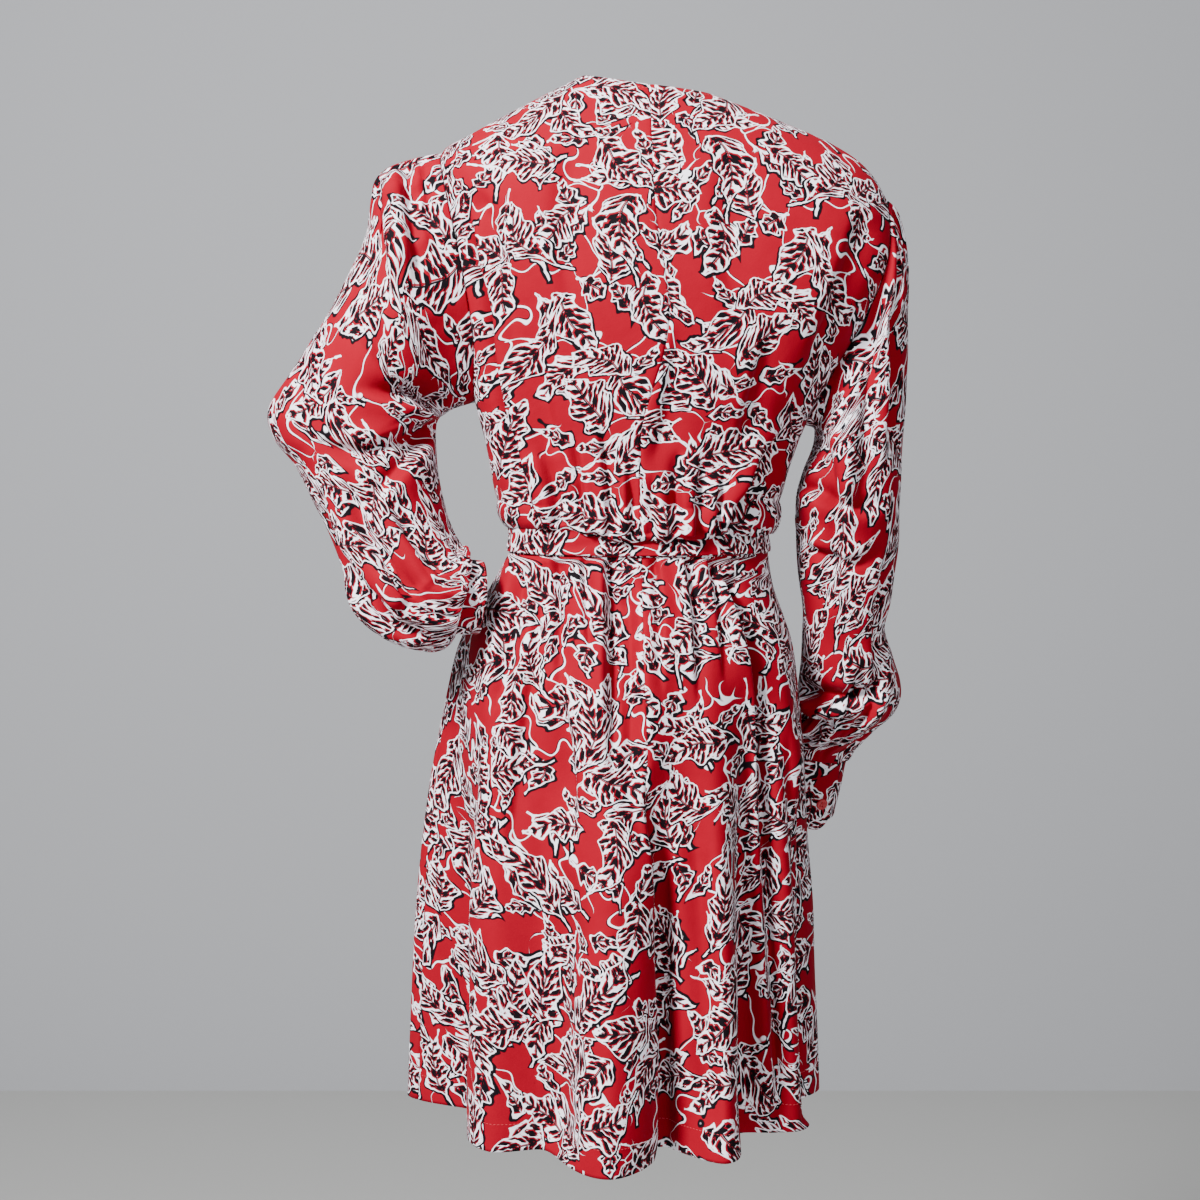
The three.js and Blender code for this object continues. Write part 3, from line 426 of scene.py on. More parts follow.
def sewn_piece(name, points, outward, cut, closed, thickness):
    """An object from a grid of points, with its print laid by the flat cut and its wall by Solidify."""
    rows, columns = points.shape[0] - 1, points.shape[1] - 1
    bm = bmesh.new()
    bmesh.ops.create_grid(bm, x_segments=columns, y_segments=rows, size=0.5)
    if len(bm.verts) != (rows + 1) * (columns + 1):
        raise RuntimeError(f"{name}: the grid has {len(bm.verts)} corners")
    cloth = bm.loops.layers.uv.new("cloth")
    spots = [(round((0.5 - v.co.y) * rows), round((v.co.x + 0.5) * columns)) for v in bm.verts]
    places = points * MM
    for vertex, spot in zip(bm.verts, spots):
        vertex.co = places[spot]
    cuts = cut * MM
    for face in bm.faces:
        for loop in face.loops:
            loop[cloth].uv = cuts[spots[loop.vert.index]]
    bm.normal_update()
    sample = list(bm.faces)[::max(1, len(bm.faces) // 200)]
    facing = sum(face.normal.dot(Vector(outward[spots[face.verts[0].index]])) for face in sample)
    if facing < 0:
        bmesh.ops.reverse_faces(bm, faces=bm.faces)
    if closed:
        bmesh.ops.remove_doubles(bm, verts=bm.verts, dist=1e-6)
    return finished(name, bm, thickness)


def finished(name, bm, thickness=0.0):
    """A smooth-shaded object from a bmesh, with a wall where it has a thickness in millimetres."""
    mesh = bpy.data.meshes.new(name)
    bm.to_mesh(mesh)
    bm.free()
    mesh.polygons.foreach_set("use_smooth", [True] * len(mesh.polygons))
    piece = bpy.data.objects.new(name, mesh)
    bpy.context.scene.collection.objects.link(piece)
    if thickness:
        wall = piece.modifiers.new("wall", "SOLIDIFY")
        wall.thickness = thickness * MM
        wall.offset = 0
        wall.use_even_offset = False
    return piece


def dress_up(piece, material, nodes=()):
    """Gives a piece its material, and ties it to the frame."""
    piece.data.materials.clear()
    piece.data.materials.append(material)
    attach(piece, "root")
    if nodes:
        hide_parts(*nodes)


def linear(hex_colour):
    """An sRGB hex colour as linear numbers with alpha."""
    channels = [int(hex_colour[place:place + 2], 16) / 255 for place in (1, 3, 5)]
    return (*[c / 12.92 if c <= 0.04045 else ((c + 0.055) / 1.055) ** 2.4 for c in channels], 1.0)


def add_node(tree, kind, inputs=None, output=0, **settings):
    """Adds a node with its settings and links, and returns one of its outputs."""
    node = tree.nodes.new(kind)
    for key, value in settings.items():
        setattr(node, key, value)
    for key, value in (inputs or {}).items():
        if isinstance(value, bpy.types.NodeSocket):
            tree.links.new(value, node.inputs[key])
        else:
            node.inputs[key].default_value = value
    return node.outputs[output] if len(node.outputs) else node


def calculator(tree):
    """A short way to add a Math node to a tree."""
    def math_of(operation, *values):
        return add_node(tree, "ShaderNodeMath", dict(enumerate(values)), operation=operation)
    return math_of


def step_up(tree, value, start, end):
    """0 below start and 1 above end."""
    return add_node(tree, "ShaderNodeMapRange", {0: value, 1: start, 2: end})


def leaf_scatter():
    """One scatter of lobed leaves on stalks, each with its own turn, bend and length, in millimetres."""
    group = bpy.data.node_groups.new("leaf scatter", "ShaderNodeTree")
    group.interface.new_socket("Cloth", in_out="INPUT", socket_type="NodeSocketVector")
    for name in ("Spacing", "Length", "Width", "Shift"):
        group.interface.new_socket(name, in_out="INPUT", socket_type="NodeSocketFloat")
    for name in ("Inside", "Shadow", "Along", "Side"):
        group.interface.new_socket(name, in_out="OUTPUT", socket_type="NodeSocketFloat")
    given = add_node(group, "NodeGroupInput").node.outputs
    math_of = calculator(group)

    shifted = add_node(group, "ShaderNodeVectorMath", {0: given["Cloth"], 1: given["Shift"]}, operation="ADD")
    scaled = add_node(group, "ShaderNodeVectorMath", {0: shifted, "Scale": math_of("DIVIDE", 1.0, given["Spacing"])},
                      operation="SCALE")
    cell = add_node(group, "ShaderNodeTexVoronoi", {"Vector": scaled, "Scale": 1.0, "Randomness": 0.75},
                    voronoi_dimensions="2D", feature="F1").node.outputs
    edge = add_node(group, "ShaderNodeTexVoronoi", {"Vector": scaled, "Scale": 1.0, "Randomness": 0.75},
                    voronoi_dimensions="2D", feature="DISTANCE_TO_EDGE")
    offset = add_node(group, "ShaderNodeVectorMath", {0: scaled, 1: cell["Position"]}, operation="SUBTRACT")
    local = add_node(group, "ShaderNodeVectorMath", {0: offset, "Scale": given["Spacing"]}, operation="SCALE")
    random = add_node(group, "ShaderNodeSeparateColor", {0: cell["Color"]}).node.outputs
    turned = add_node(group, "ShaderNodeVectorRotate",
                      {"Vector": local, "Angle": math_of("MULTIPLY", random["Red"], TURN)}, rotation_type="Z_AXIS")
    place = add_node(group, "ShaderNodeSeparateXYZ", {0: turned}).node.outputs
    length = math_of("MULTIPLY", given["Length"], math_of("MULTIPLY_ADD", random["Green"], 0.4, 0.8))
    part = math_of("DIVIDE", place["X"], length)
    square = math_of("MULTIPLY", part, part)
    bend = math_of("MULTIPLY", math_of("SUBTRACT", random["Blue"], 0.5), math_of("MULTIPLY", square, length))
    side = math_of("ADD", place["Y"], bend)
    from_rib = math_of("ABSOLUTE", side)
    lobes = math_of("MULTIPLY_ADD", math_of("COSINE", math_of("MULTIPLY", part, 11.0)), 0.16, 0.84)
    taper = math_of("MULTIPLY", math_of("SUBTRACT", 1.0, square), math_of("MULTIPLY_ADD", part, -0.45, 1.0))
    leaf = math_of("SUBTRACT", math_of("MULTIPLY", math_of("MULTIPLY", given["Width"], taper), lobes), from_rib)
    reach = math_of("MULTIPLY", math_of("SUBTRACT", 1.45, math_of("ABSOLUTE", part)), length)
    stalk = math_of("MINIMUM", math_of("SUBTRACT", 1.3, from_rib), reach)
    within_cell = math_of("MULTIPLY_ADD", edge, given["Spacing"], -1.4)
    whole = math_of("MINIMUM", math_of("MAXIMUM", leaf, stalk), within_cell)
    wander = add_node(group, "ShaderNodeTexNoise", {"Vector": shifted, "Scale": 0.16, "Detail": 1.0},
                      noise_dimensions="2D")
    inside = math_of("ADD", whole, math_of("MULTIPLY_ADD", wander, 3.0, -1.5))
    raw = add_node(group, "ShaderNodeSeparateXYZ", {0: local}).node.outputs
    lean = math_of("DIVIDE", math_of("ADD", raw["X"], raw["Y"]), given["Length"])
    thick = math_of("MINIMUM", math_of("MAXIMUM", math_of("MULTIPLY", lean, 9.0), 0.0), 2.6)
    group_output = group.nodes.new("NodeGroupOutput")
    for name, value in (("Inside", inside), ("Shadow", math_of("ADD", inside, thick)), ("Along", place["X"]),
                        ("Side", side)):
        group.links.new(value, group_output.inputs[name])
    return group


def brush_dashes(tree, run, across, push, least):
    """Short pointed brush marks, 8 mm long and 3 mm apart, in a leaf's own run of veins."""
    spot = add_node(tree, "ShaderNodeCombineXYZ", {
        0: add_node(tree, "ShaderNodeMath", {0: run, 1: 0.1}, operation="MULTIPLY"),
        1: add_node(tree, "ShaderNodeMath", {0: across, 1: 0.32, 2: push}, operation="MULTIPLY_ADD")})
    mark = add_node(tree, "ShaderNodeTexVoronoi", {"Vector": spot, "Scale": 1.0, "Randomness": 0.85},
                    voronoi_dimensions="2D", feature="F1", distance="MANHATTAN").node.outputs
    random = add_node(tree, "ShaderNodeSeparateColor", {0: mark["Color"]}).node.outputs
    reach = add_node(tree, "ShaderNodeMath", {0: random["Red"], 1: 0.26, 2: least}, operation="MULTIPLY_ADD")
    over = add_node(tree, "ShaderNodeMath", {0: reach, 1: mark["Distance"]}, operation="SUBTRACT")
    return step_up(tree, over, 0.0, 0.06)


def printed_crepe():
    """Printed viscose crepe: matt, softly lit at grazing angles, with a fine pebbled weave."""
    look = bpy.context.scene.dress_print
    material = bpy.data.materials.new("printed crepe")
    material.use_nodes = True
    tree = material.node_tree
    tree.nodes.clear()
    math_of = calculator(tree)
    cut = add_node(tree, "ShaderNodeUVMap", uv_map="cloth")
    flat = add_node(tree, "ShaderNodeVectorMath", {0: cut, "Scale": 1 / MM}, operation="SCALE")
    # The hand-drawn line wanders by a few millimetres.
    drift = add_node(tree, "ShaderNodeTexNoise", {"Vector": flat, "Scale": 0.018, "Detail": 1.0},
                     output="Color", noise_dimensions="2D")
    centred = add_node(tree, "ShaderNodeVectorMath", {0: drift, 1: (0.5, 0.5, 0.5)}, operation="SUBTRACT")
    pulled = add_node(tree, "ShaderNodeVectorMath", {0: centred, "Scale": 24.0}, operation="SCALE")
    drawn = add_node(tree, "ShaderNodeVectorMath", {0: flat, 1: pulled}, operation="ADD")

    def inked(below, ink, cover):
        return add_node(tree, "ShaderNodeMix", {0: cover, 6: below, 7: ink}, output=2, data_type="RGBA")

    ground, light, dark = (linear(value) for value in (GROUND_HEX, LIGHT_HEX, DARK_HEX))
    # Thin tendrils run over the ground along the borders of a scatter of cells, and thin out in places.
    thinning = add_node(tree, "ShaderNodeTexNoise", {"Vector": drawn, "Scale": 0.02, "Detail": 0.5},
                        noise_dimensions="2D")
    width = math_of("MINIMUM", math_of("MULTIPLY_ADD", thinning, 9.0, -3.6), 1.3)
    curl = add_node(tree, "ShaderNodeTexNoise", {"Vector": flat, "Scale": 0.045, "Detail": 0.0},
                    output="Color", noise_dimensions="2D")
    curled = add_node(tree, "ShaderNodeVectorMath", {0: curl, "Scale": 34.0}, operation="SCALE")
    wound = add_node(tree, "ShaderNodeVectorMath", {0: drawn, 1: curled}, operation="ADD")
    colour = ground
    for ink, shift in ((dark, 1.1), (light, 0.0)):
        moved = add_node(tree, "ShaderNodeVectorMath", {0: wound, 1: (shift, shift, 0.0)}, operation="ADD")
        border = add_node(tree, "ShaderNodeTexVoronoi", {"Vector": moved, "Scale": TENDRIL_CELLS},
                          voronoi_dimensions="2D", feature="DISTANCE_TO_EDGE")
        stem = math_of("SUBTRACT", width, math_of("DIVIDE", border, TENDRIL_CELLS))
        colour = inked(colour, ink, step_up(tree, stem, 0.0, 0.4))

    group = leaf_scatter()
    size = look.motif_length / MM
    depth, run, across = -1.0, 0.0, 0.0
    for spacing, length, width, shift in ((0.5, 0.26, 0.12, 913.0), (0.85, 0.46, 0.21, 457.0), (1.0, 0.55, 0.25, 0.0)):
        leaves = add_node(tree, "ShaderNodeGroup", node_tree=group).node
        for name, value in (("Spacing", spacing), ("Length", length), ("Width", width)):
            leaves.inputs[name].default_value = value * size
        leaves.inputs["Shift"].default_value = shift
        tree.links.new(drawn, leaves.inputs["Cloth"])
        colour = inked(colour, dark, step_up(tree, leaves.outputs["Shadow"], 0.0, 0.4))
        body = step_up(tree, leaves.outputs["Inside"], 0.0, 0.4)
        colour = inked(colour, light, body)
        top = math_of("GREATER_THAN", leaves.outputs["Inside"], 0.0)
        depth, run, across = (
            add_node(tree, "ShaderNodeMix", {0: top, 2: below, 3: above})
            for below, above in ((depth, leaves.outputs["Inside"]), (run, leaves.outputs["Along"]),
                                 (across, leaves.outputs["Side"])))

    # Inside the leaf on top, veins of red brush marks with a dark one beside each run out from the rib.
    from_rib = math_of("ABSOLUTE", across)
    vein_run = math_of("ADD", math_of("MULTIPLY", run, 0.72), math_of("MULTIPLY", from_rib, 0.69))
    vein_side = math_of("SUBTRACT", math_of("MULTIPLY", from_rib, 0.72), math_of("MULTIPLY", run, 0.69))
    rim = step_up(tree, depth, 1.2, 1.9)
    for ink, push, rib_push, least in ((ground, 0.0, 0.0, 0.5), (dark, 0.3, 1.1, 0.4)):
        rib = math_of("SUBTRACT", 0.75, math_of("ABSOLUTE", math_of("ADD", across, rib_push)))
        rib = step_up(tree, math_of("MINIMUM", rib, math_of("SUBTRACT", depth, 4.0)), 0.0, 0.4)
        marks = math_of("MAXIMUM", brush_dashes(tree, vein_run, vein_side, push, least), rib)
        colour = inked(colour, ink, math_of("MULTIPLY", marks, rim))

    # The weave's threads are 0.35 mm apart and are drawn 1.1 mm apart, so that they still show.
    weave = add_node(tree, "ShaderNodeTexNoise", {"Vector": flat, "Scale": 0.9, "Detail": 2.0},
                     noise_dimensions="2D")
    crinkle = add_node(tree, "ShaderNodeTexNoise", {"Vector": flat, "Scale": 0.06, "Detail": 3.0},
                       noise_dimensions="2D")
    height = math_of("MULTIPLY_ADD", crinkle, 3.0, weave)
    bump = add_node(tree, "ShaderNodeBump", {"Height": height, "Strength": 0.35, "Distance": 0.0004})
    # The print is darker where the crinkle's bump sinks and lighter where it rises: painted shade in its hollows and
    # painted light on its rises.
    crinkle_shaded = add_node(tree, "ShaderNodeHueSaturation",
                     {"Color": colour, "Value": add_node(tree, "ShaderNodeMapRange", {0: crinkle, 3: 0.93, 4: 1.05})})
    shader = add_node(tree, "ShaderNodeBsdfPrincipled", {
        "Base Color": crinkle_shaded, "Normal": bump, "Roughness": 0.75, "Specular IOR Level": 0.06,
        "Sheen Weight": 0.01, "Sheen Roughness": 0.4})
    add_node(tree, "ShaderNodeOutputMaterial", {"Surface": shader})
    return material


GROUND_HEX = "#89001A"
LIGHT_HEX = "#F3F0FA"
DARK_HEX = "#0E090E"
TENDRIL_CELLS = 0.017


def cloth_material():
    """The one printed cloth that every piece is cut from."""
    return bpy.data.materials.get("printed crepe") or printed_crepe()


def armhole_spot(armhole, turn):
    """A place on the armhole's edge, at a turn from the shoulder round the back to the underarm."""
    middle = (armhole["top"] + armhole["bottom"]) / 2
    half = (armhole["bottom"] - armhole["top"]) / 2
    reach = np.where(np.sin(turn) > 0, armhole["behind"], armhole["front"])
    return armhole["side"] + armhole["turn"] * reach * np.sin(turn), middle - half * np.cos(turn)


def bodice_edge(armhole, facing, rows):
    """The side edge of a bodice panel: the shoulder seam, the armhole and the side seam."""
    shoulder_rows, hole_rows = round(rows * 0.12), round(rows * 0.38)
    side_rows = rows - shoulder_rows - hole_rows
    shoulder = np.linspace(0, armhole["top"], shoulder_rows + 1)[:-1]
    turns = np.linspace(0, math.pi, hole_rows + 1)
    first, second = armhole_spot(armhole, turns * facing)
    spread = np.interp(np.linspace(0, 1, side_rows + 1), (0, 0.3, 0.85, 1),
                       (armhole["bottom"], 11.0, 12.25, WAIST_RING))[1:]
    side = np.full_like
    return (np.concatenate([side(shoulder, armhole["side"]), first, side(spread, armhole["side"])]),
            np.concatenate([shoulder, second, spread]))


def wrap_angle(edge, ring, start, end):
    """The angle at which each ring meets a front's straight edge."""
    angles = np.linspace(start, end, 600)[None, :]
    places = torso(angles, ring[:, None])
    part = (places[..., 2] - edge["neck_z"]) / (edge["waist_z"] - edge["neck_z"])
    past = places[..., 0] - (edge["neck_x"] + (edge["waist_x"] - edge["neck_x"]) * part)
    past *= np.sign(past[:, -1:])
    index = np.argmax(past > 0, axis=1)
    index = np.clip(index, 1, past.shape[1] - 1)
    rows = np.arange(len(ring))
    low, high = past[rows, index - 1], past[rows, index]
    share = np.clip(-low / (high - low), 0, 1)
    return angles[0, index - 1] + share * (angles[0, index] - angles[0, index - 1])


def blouse(angle, ring):
    """How far the bodice's fullness stands out above the belt, and how far it hangs over it."""
    hang = np.interp(np.degrees(angle) % 360, BLOUSE_HANG["angle"], BLOUSE_HANG["hang"])
    hang = hang * (1 + 0.12 * np.sin(angle * 23) + 0.08 * np.sin(angle * 37 + 1))
    part = np.clip((ring - 11.1) / 1.05, 0, 1)
    out = (5 + 0.34 * hang) * np.sin(math.pi * part ** 0.8)
    drop = hang * smooth(part / 0.75) * smooth((1 - part) / 0.3)
    return out, drop


def eased(count):
    """Even steps from 0 to 1, closer together towards both ends."""
    even = np.linspace(0, 1, count + 1)
    return even - 0.12 * np.sin(TURN * even) / math.pi


def bodice_piece(name, side, facing, columns, rows, inner_edge, lift, crease, cut_shift):
    """One panel of the bodice, from its side edge to its inner edge."""
    look = bpy.context.scene.dress_cloth
    armhole = dict(ARMHOLES[side])
    if side == "left" and facing < 0:
        armhole["side"] = TURN
    first, second = bodice_edge(armhole, facing, rows)
    inner_ring = (bodice_edge(ARMHOLES["left"], facing, rows)[1] + bodice_edge(ARMHOLES["right"], facing, rows)[1]) / 2
    inner = inner_edge(inner_ring)
    part = eased(columns)[None, :]
    angle = first[:, None] + (inner - first)[:, None] * part
    ring = second[:, None] + (inner_ring - second)[:, None] * part
    base = torso(angle, ring)
    outward = normals_of(torso, angle, ring)
    lifted = lift * smooth(np.abs(angle - first[:, None]) / math.radians(25))
    fade = smooth(np.abs(np.sin(angle)) * 2.2) * (1 - smooth((ring - 11.9) / 0.3))
    edge_gap = np.linalg.norm(base - base[:, -1:], axis=-1)
    side_gap = np.linalg.norm(base - base[:, :1], axis=-1)
    fade *= smooth(side_gap / 10)
    out = lifted + fade * crease_out(crease, base, look.crease_depth) + ripple(base, 3, 90, 0.6) * fade
    seam_dip = np.exp(-(side_gap / 2.2) ** 2) + (np.exp(-(edge_gap / 2.2) ** 2) if facing > 0 else 0)
    hang_out, drop = blouse(angle, ring)
    hung = base + outward * hang_out[..., None]
    hung[..., 2] -= drop
    places = hung + outward * (out - 0.8 * seam_dip)[..., None]
    cut = cut_lengths(base, -1) + np.array(cut_shift)
    plain, longer = (cut_lengths(points, -1)[..., 1] for points in (base, hung))
    cut[..., 1] += (longer - longer[0]) - (plain - plain[0])
    return sewn_piece(name, places, outward, cut, False, look.thickness / MM)


class DressCloth(bpy.types.PropertyGroup):
    """Sizes of the cloth and its creases."""
    thickness: bpy.props.FloatProperty(
        name="Thickness", description="Thickness of the cloth's shell", default=0.0011, min=0.0003, max=0.003,
        subtype="DISTANCE", unit="LENGTH")
    crease_depth: bpy.props.FloatProperty(
        name="Crease depth", description="How deep the creases are, as a share of their table", default=1.0,
        min=0.0, max=2.0, subtype="FACTOR")
    gather_depth: bpy.props.FloatProperty(
        name="Gather depth", description="How deep the sleeves' gathers are, as a share of their table",
        default=1.0, min=0.0, max=2.0, subtype="FACTOR")


class DressPrint(bpy.types.PropertyGroup):
    """Spacing of the printed leaves."""
    motif_length: bpy.props.FloatProperty(
        name="Leaf spacing", description="Distance between the largest leaves", default=0.078, min=0.02, max=0.3,
        subtype="DISTANCE", unit="LENGTH")


class DressTrim(bpy.types.PropertyGroup):
    """Sizes of the stitching."""
    stitch_length: bpy.props.FloatProperty(
        name="Stitch length", description="Length of one stitch", default=0.0026, min=0.001, max=0.01,
        subtype="DISTANCE", unit="LENGTH")
    stitch_gap: bpy.props.FloatProperty(
        name="Stitch spacing", description="Distance from one stitch to the next", default=0.0036, min=0.001,
        max=0.02, subtype="DISTANCE", unit="LENGTH")
    thread_width: bpy.props.FloatProperty(
        name="Thread width", description="Width of the thread", default=0.0005, min=0.0001, max=0.003,
        subtype="DISTANCE", unit="LENGTH")


class DressStudio(bpy.types.PropertyGroup):
    """Lights of the studio."""
    key_power: bpy.props.FloatProperty(
        name="Key light", description="Power of the main soft light", default=380.0, min=0.0, max=1000.0,
        unit="POWER")
    fill_power: bpy.props.FloatProperty(
        name="Fill light", description="Power of the second soft light", default=32.0, min=0.0, max=1000.0,
        unit="POWER")


class DRESS_OT_bodice(bpy.types.Operator):
    """Lays the two back panels and the two wrapped fronts of the bodice"""
    bl_idname = "dress.bodice"
    bl_label = "Bodice"

    def execute(self, context):
        back = lambda ring: np.full_like(ring, BACK)
        over = lambda ring: wrap_angle(WRAP_EDGES["over"], ring, RIGHT + math.radians(5), TURN - math.radians(20))
        under = lambda ring: wrap_angle(WRAP_EDGES["under"], ring, TURN - math.radians(5), RIGHT + math.radians(20))
        panels = (
            ("bodice_back_left_cloth", "left", 1, 110, 150, back, 0, "bodice_back", (0, 0), (0.27, 0.52), 0.104),
            ("bodice_back_right_cloth", "right", 1, 120, 150, back, 0, "bodice_back", (37, 61), (0.28, 0.5), 0.105),
            ("bodice_front_right_cloth", "right", -1, 100, 120, over, LAYER_LIFT, "bodice_front", (410, 20),
             (0.31, 0.525), 0.126),
            ("bodice_front_left_cloth", "left", -1, 90, 120, under, -LAYER_LIFT, "bodice_front", (830, 55),
             (0.29, 0.545), 0.122),
        )
        for name, side, facing, columns, rows, inner, lift, crease, shift, flat, area in panels:
            piece = bodice_piece(name, side, facing, columns, rows, inner, lift, crease, shift)
            dress_up(piece, cloth_material(), (name.removesuffix("_cloth"),))
        return {"FINISHED"}


def skirt_piece(name, start, end, columns, rows, seam, lift, crease, reference, cut_shift):
    """One panel of the skirt between two edges that may turn on the way down."""
    look = bpy.context.scene.dress_cloth
    down = np.linspace(0, 1, rows + 1)[:, None]
    part = eased(columns)[None, :]
    angle = start(down) + (end(down) - start(down)) * part
    down = down * np.ones_like(part)
    base = skirt(angle, down)
    outward = normals_of(skirt, angle, down)
    lifted = lift * smooth(np.abs(angle - seam) / math.radians(25))
    fade = smooth(np.abs(np.sin(angle)) * 2.2) * (0.25 + 0.75 * smooth(down / 0.06))
    out = lifted + fade * (crease_out(crease, base, look.crease_depth) + ripple(base, 8, 120, 1.0))
    gaps = [np.linalg.norm(base - base[:, place:place + 1], axis=-1) for place in (0, columns)]
    seams = [1.0 if abs(edge(0.5) - seam) < 1e-6 or crease == "skirt_back" else 0.0 for edge in (start, end)]
    dip = sum(here * np.exp(-(gap / 2.2) ** 2) for here, gap in zip(seams, gaps))
    points = base + outward * (out - 0.8 * dip)[..., None]
    cut = cut_lengths(base, reference)
    # Round the skirt the cut follows the folds, so the print isn't stretched over their walls.
    cut[..., 0] = cut_lengths(base + outward * out[..., None], reference)[..., 0]
    cut[..., 1] += 520
    return sewn_piece(name, points, outward, cut + np.array(cut_shift), False, look.thickness / MM)


class DRESS_OT_skirt(bpy.types.Operator):
    """Lays the two back panels and the two wrapped fronts of the skirt"""
    bl_idname = "dress.skirt"
    bl_label = "Skirt"

    def execute(self, context):
        back_seam = lambda down: BACK + SKIRT_BACK_SEAM_SHIFT * down ** 0.8
        at = lambda angle: (lambda down: angle)
        panels = (
            ("skirt_back_left_cloth", at(0.0), back_seam, 150, 170, 0.0, 0, "skirt_back", -1, (0, 0),
             (0.41, 0.55), 0.171),
            ("skirt_back_right_cloth", back_seam, at(RIGHT), 140, 170, RIGHT, 0, "skirt_back", 0, (61, 33),
             (0.37, 0.545), 0.16),
            ("skirt_front_right_cloth", at(RIGHT), at(OVER_SKIRT_EDGE), 130, 110, RIGHT, LAYER_LIFT, "skirt_front", 0,
             (900, 40), (0.56, 0.545), 0.247),
            ("skirt_front_left_cloth", at(UNDER_SKIRT_EDGE), at(TURN), 130, 110, TURN, -LAYER_LIFT, "skirt_front", -1,
             (1400, 70), (0.55, 0.545), 0.242),
        )
        for name, start, end, columns, rows, seam, lift, crease, reference, shift, flat, area in panels:
            piece = skirt_piece(name, start, end, columns, rows, seam, lift, crease, reference, shift)
            dress_up(piece, cloth_material(), (name.removesuffix("_cloth"),))
        return {"FINISHED"}


def cuff_frame(cuff):
    """The cuff's axis and two directions square to it, and its top."""
    top, end = np.array(cuff["top"], float), np.array(cuff["end"], float)
    axis = (end - top) / np.linalg.norm(end - top)
    start = np.array([0.0, 1.0, 0.0]) - axis * axis[1]
    start /= np.linalg.norm(start)
    return top, axis, start, np.cross(axis, start)


def cuff_surface(cuff, around, depth):
    """The cuff is one strip wound round the wrist, and its flap laps over its other end."""
    top, axis, start, other = cuff_frame(cuff)
    around, depth = np.broadcast_arrays(around, depth)
    angle = cuff["flap"] + (CUFF_LENGTH - around) / CUFF_RADIUS
    under = 1 - smooth((around - CUFF_LAP - 4) / 50)
    radius = CUFF_RADIUS - (CUFF_WALL + 0.5) * under
    return (top + depth[..., None] * axis + (radius * np.cos(angle))[..., None] * start
            + (radius * np.sin(angle))[..., None] * other)


def sleeve_rows(side):
    """The sleeve's sections with those round its cuff added, and which way it runs."""
    cuff = CUFFS[side]
    top, axis, _, _ = cuff_frame(cuff)
    flat = np.array([axis[0], 0, axis[2]]) / math.hypot(axis[0], axis[2])
    swing = math.degrees(math.asin(-axis[1]))
    table = {name: list(values) for name, values in SLEEVES[side].items()}
    for place, radius, gather in CUFF_TURNS[side]:
        middle = top + axis * place
        out = np.array([-flat[2], 0, flat[0]]) * radius * cuff["way"]
        added = {"out_x": middle[0] + out[0], "out_z": middle[2] + out[2], "in_x": middle[0] - out[0],
                 "in_z": middle[2] - out[2], "y": middle[1], "deep": radius, "swing": swing, "gather": gather}
        for name, value in added.items():
            table[name].append(value)
    return {name: np.array(values) for name, values in table.items()}


def uneven(turn, seed):
    """Gathers of uneven width round a sleeve."""
    return (np.cos(GATHERS * turn) + 0.55 * np.cos(23 * turn + seed) + 0.4 * np.cos(34 * turn + 3 * seed)) / 1.4


def sleeve_tube(table, way, turn, position, gather_depth):
    """A sleeve's tube, at a turn from its outer side round the back, without its armhole end."""
    at = {name: along(values, position) for name, values in table.items()}
    zero = np.zeros_like(at["y"])
    out = np.stack([at["out_x"], at["y"], at["out_z"]], -1)
    inner = np.stack([at["in_x"], at["y"], at["in_z"]], -1)
    across = (out - inner) / 2
    run = np.stack([across[..., 2], zero, -across[..., 0]], -1) * way
    run /= np.linalg.norm(run, axis=-1, keepdims=True)
    swing = np.radians(at["swing"])[..., None]
    deep = (np.array([0.0, 1.0, 0.0]) * np.cos(swing) + run * np.sin(swing)) * at["deep"][..., None]
    top = 0.5 + 0.5 * np.cos(turn)
    head = HEAD_GATHER_DEPTH * top * np.sin(math.pi * np.minimum(position / 3, 1))
    wave = (at["gather"] * uneven(turn, 1.3) + head * uneven(turn, 2.1)) * gather_depth
    scale = (1 + wave / np.linalg.norm(across, axis=-1))[..., None]
    return (out + inner) / 2 + (across * np.cos(turn)[..., None] + deep * np.sin(turn)[..., None]) * scale


def sleeve_surface(side, gather_depth):
    """The whole sleeve: its tube, drawn to the armhole's edge over its first sections."""
    table = sleeve_rows(side)
    way = CUFFS[side]["way"]
    seam_length = 0.5

    def surface(turn, position):
        turn, position = np.broadcast_arrays(turn, position)
        tube = sleeve_tube(table, way, turn, position, gather_depth)
        start = sleeve_tube(table, way, turn, np.zeros_like(position), gather_depth)
        seam = sleeve_tube(table, way, turn, np.ones_like(position), gather_depth) - start
        seam *= seam_length / np.linalg.norm(seam, axis=-1, keepdims=True)
        whole = turn % TURN
        edge = torso(*armhole_spot(ARMHOLES[side], whole))
        return tube + (edge + seam - start) * (1 - smooth(position / 3))[..., None]

    return surface, len(table["y"]) - 1


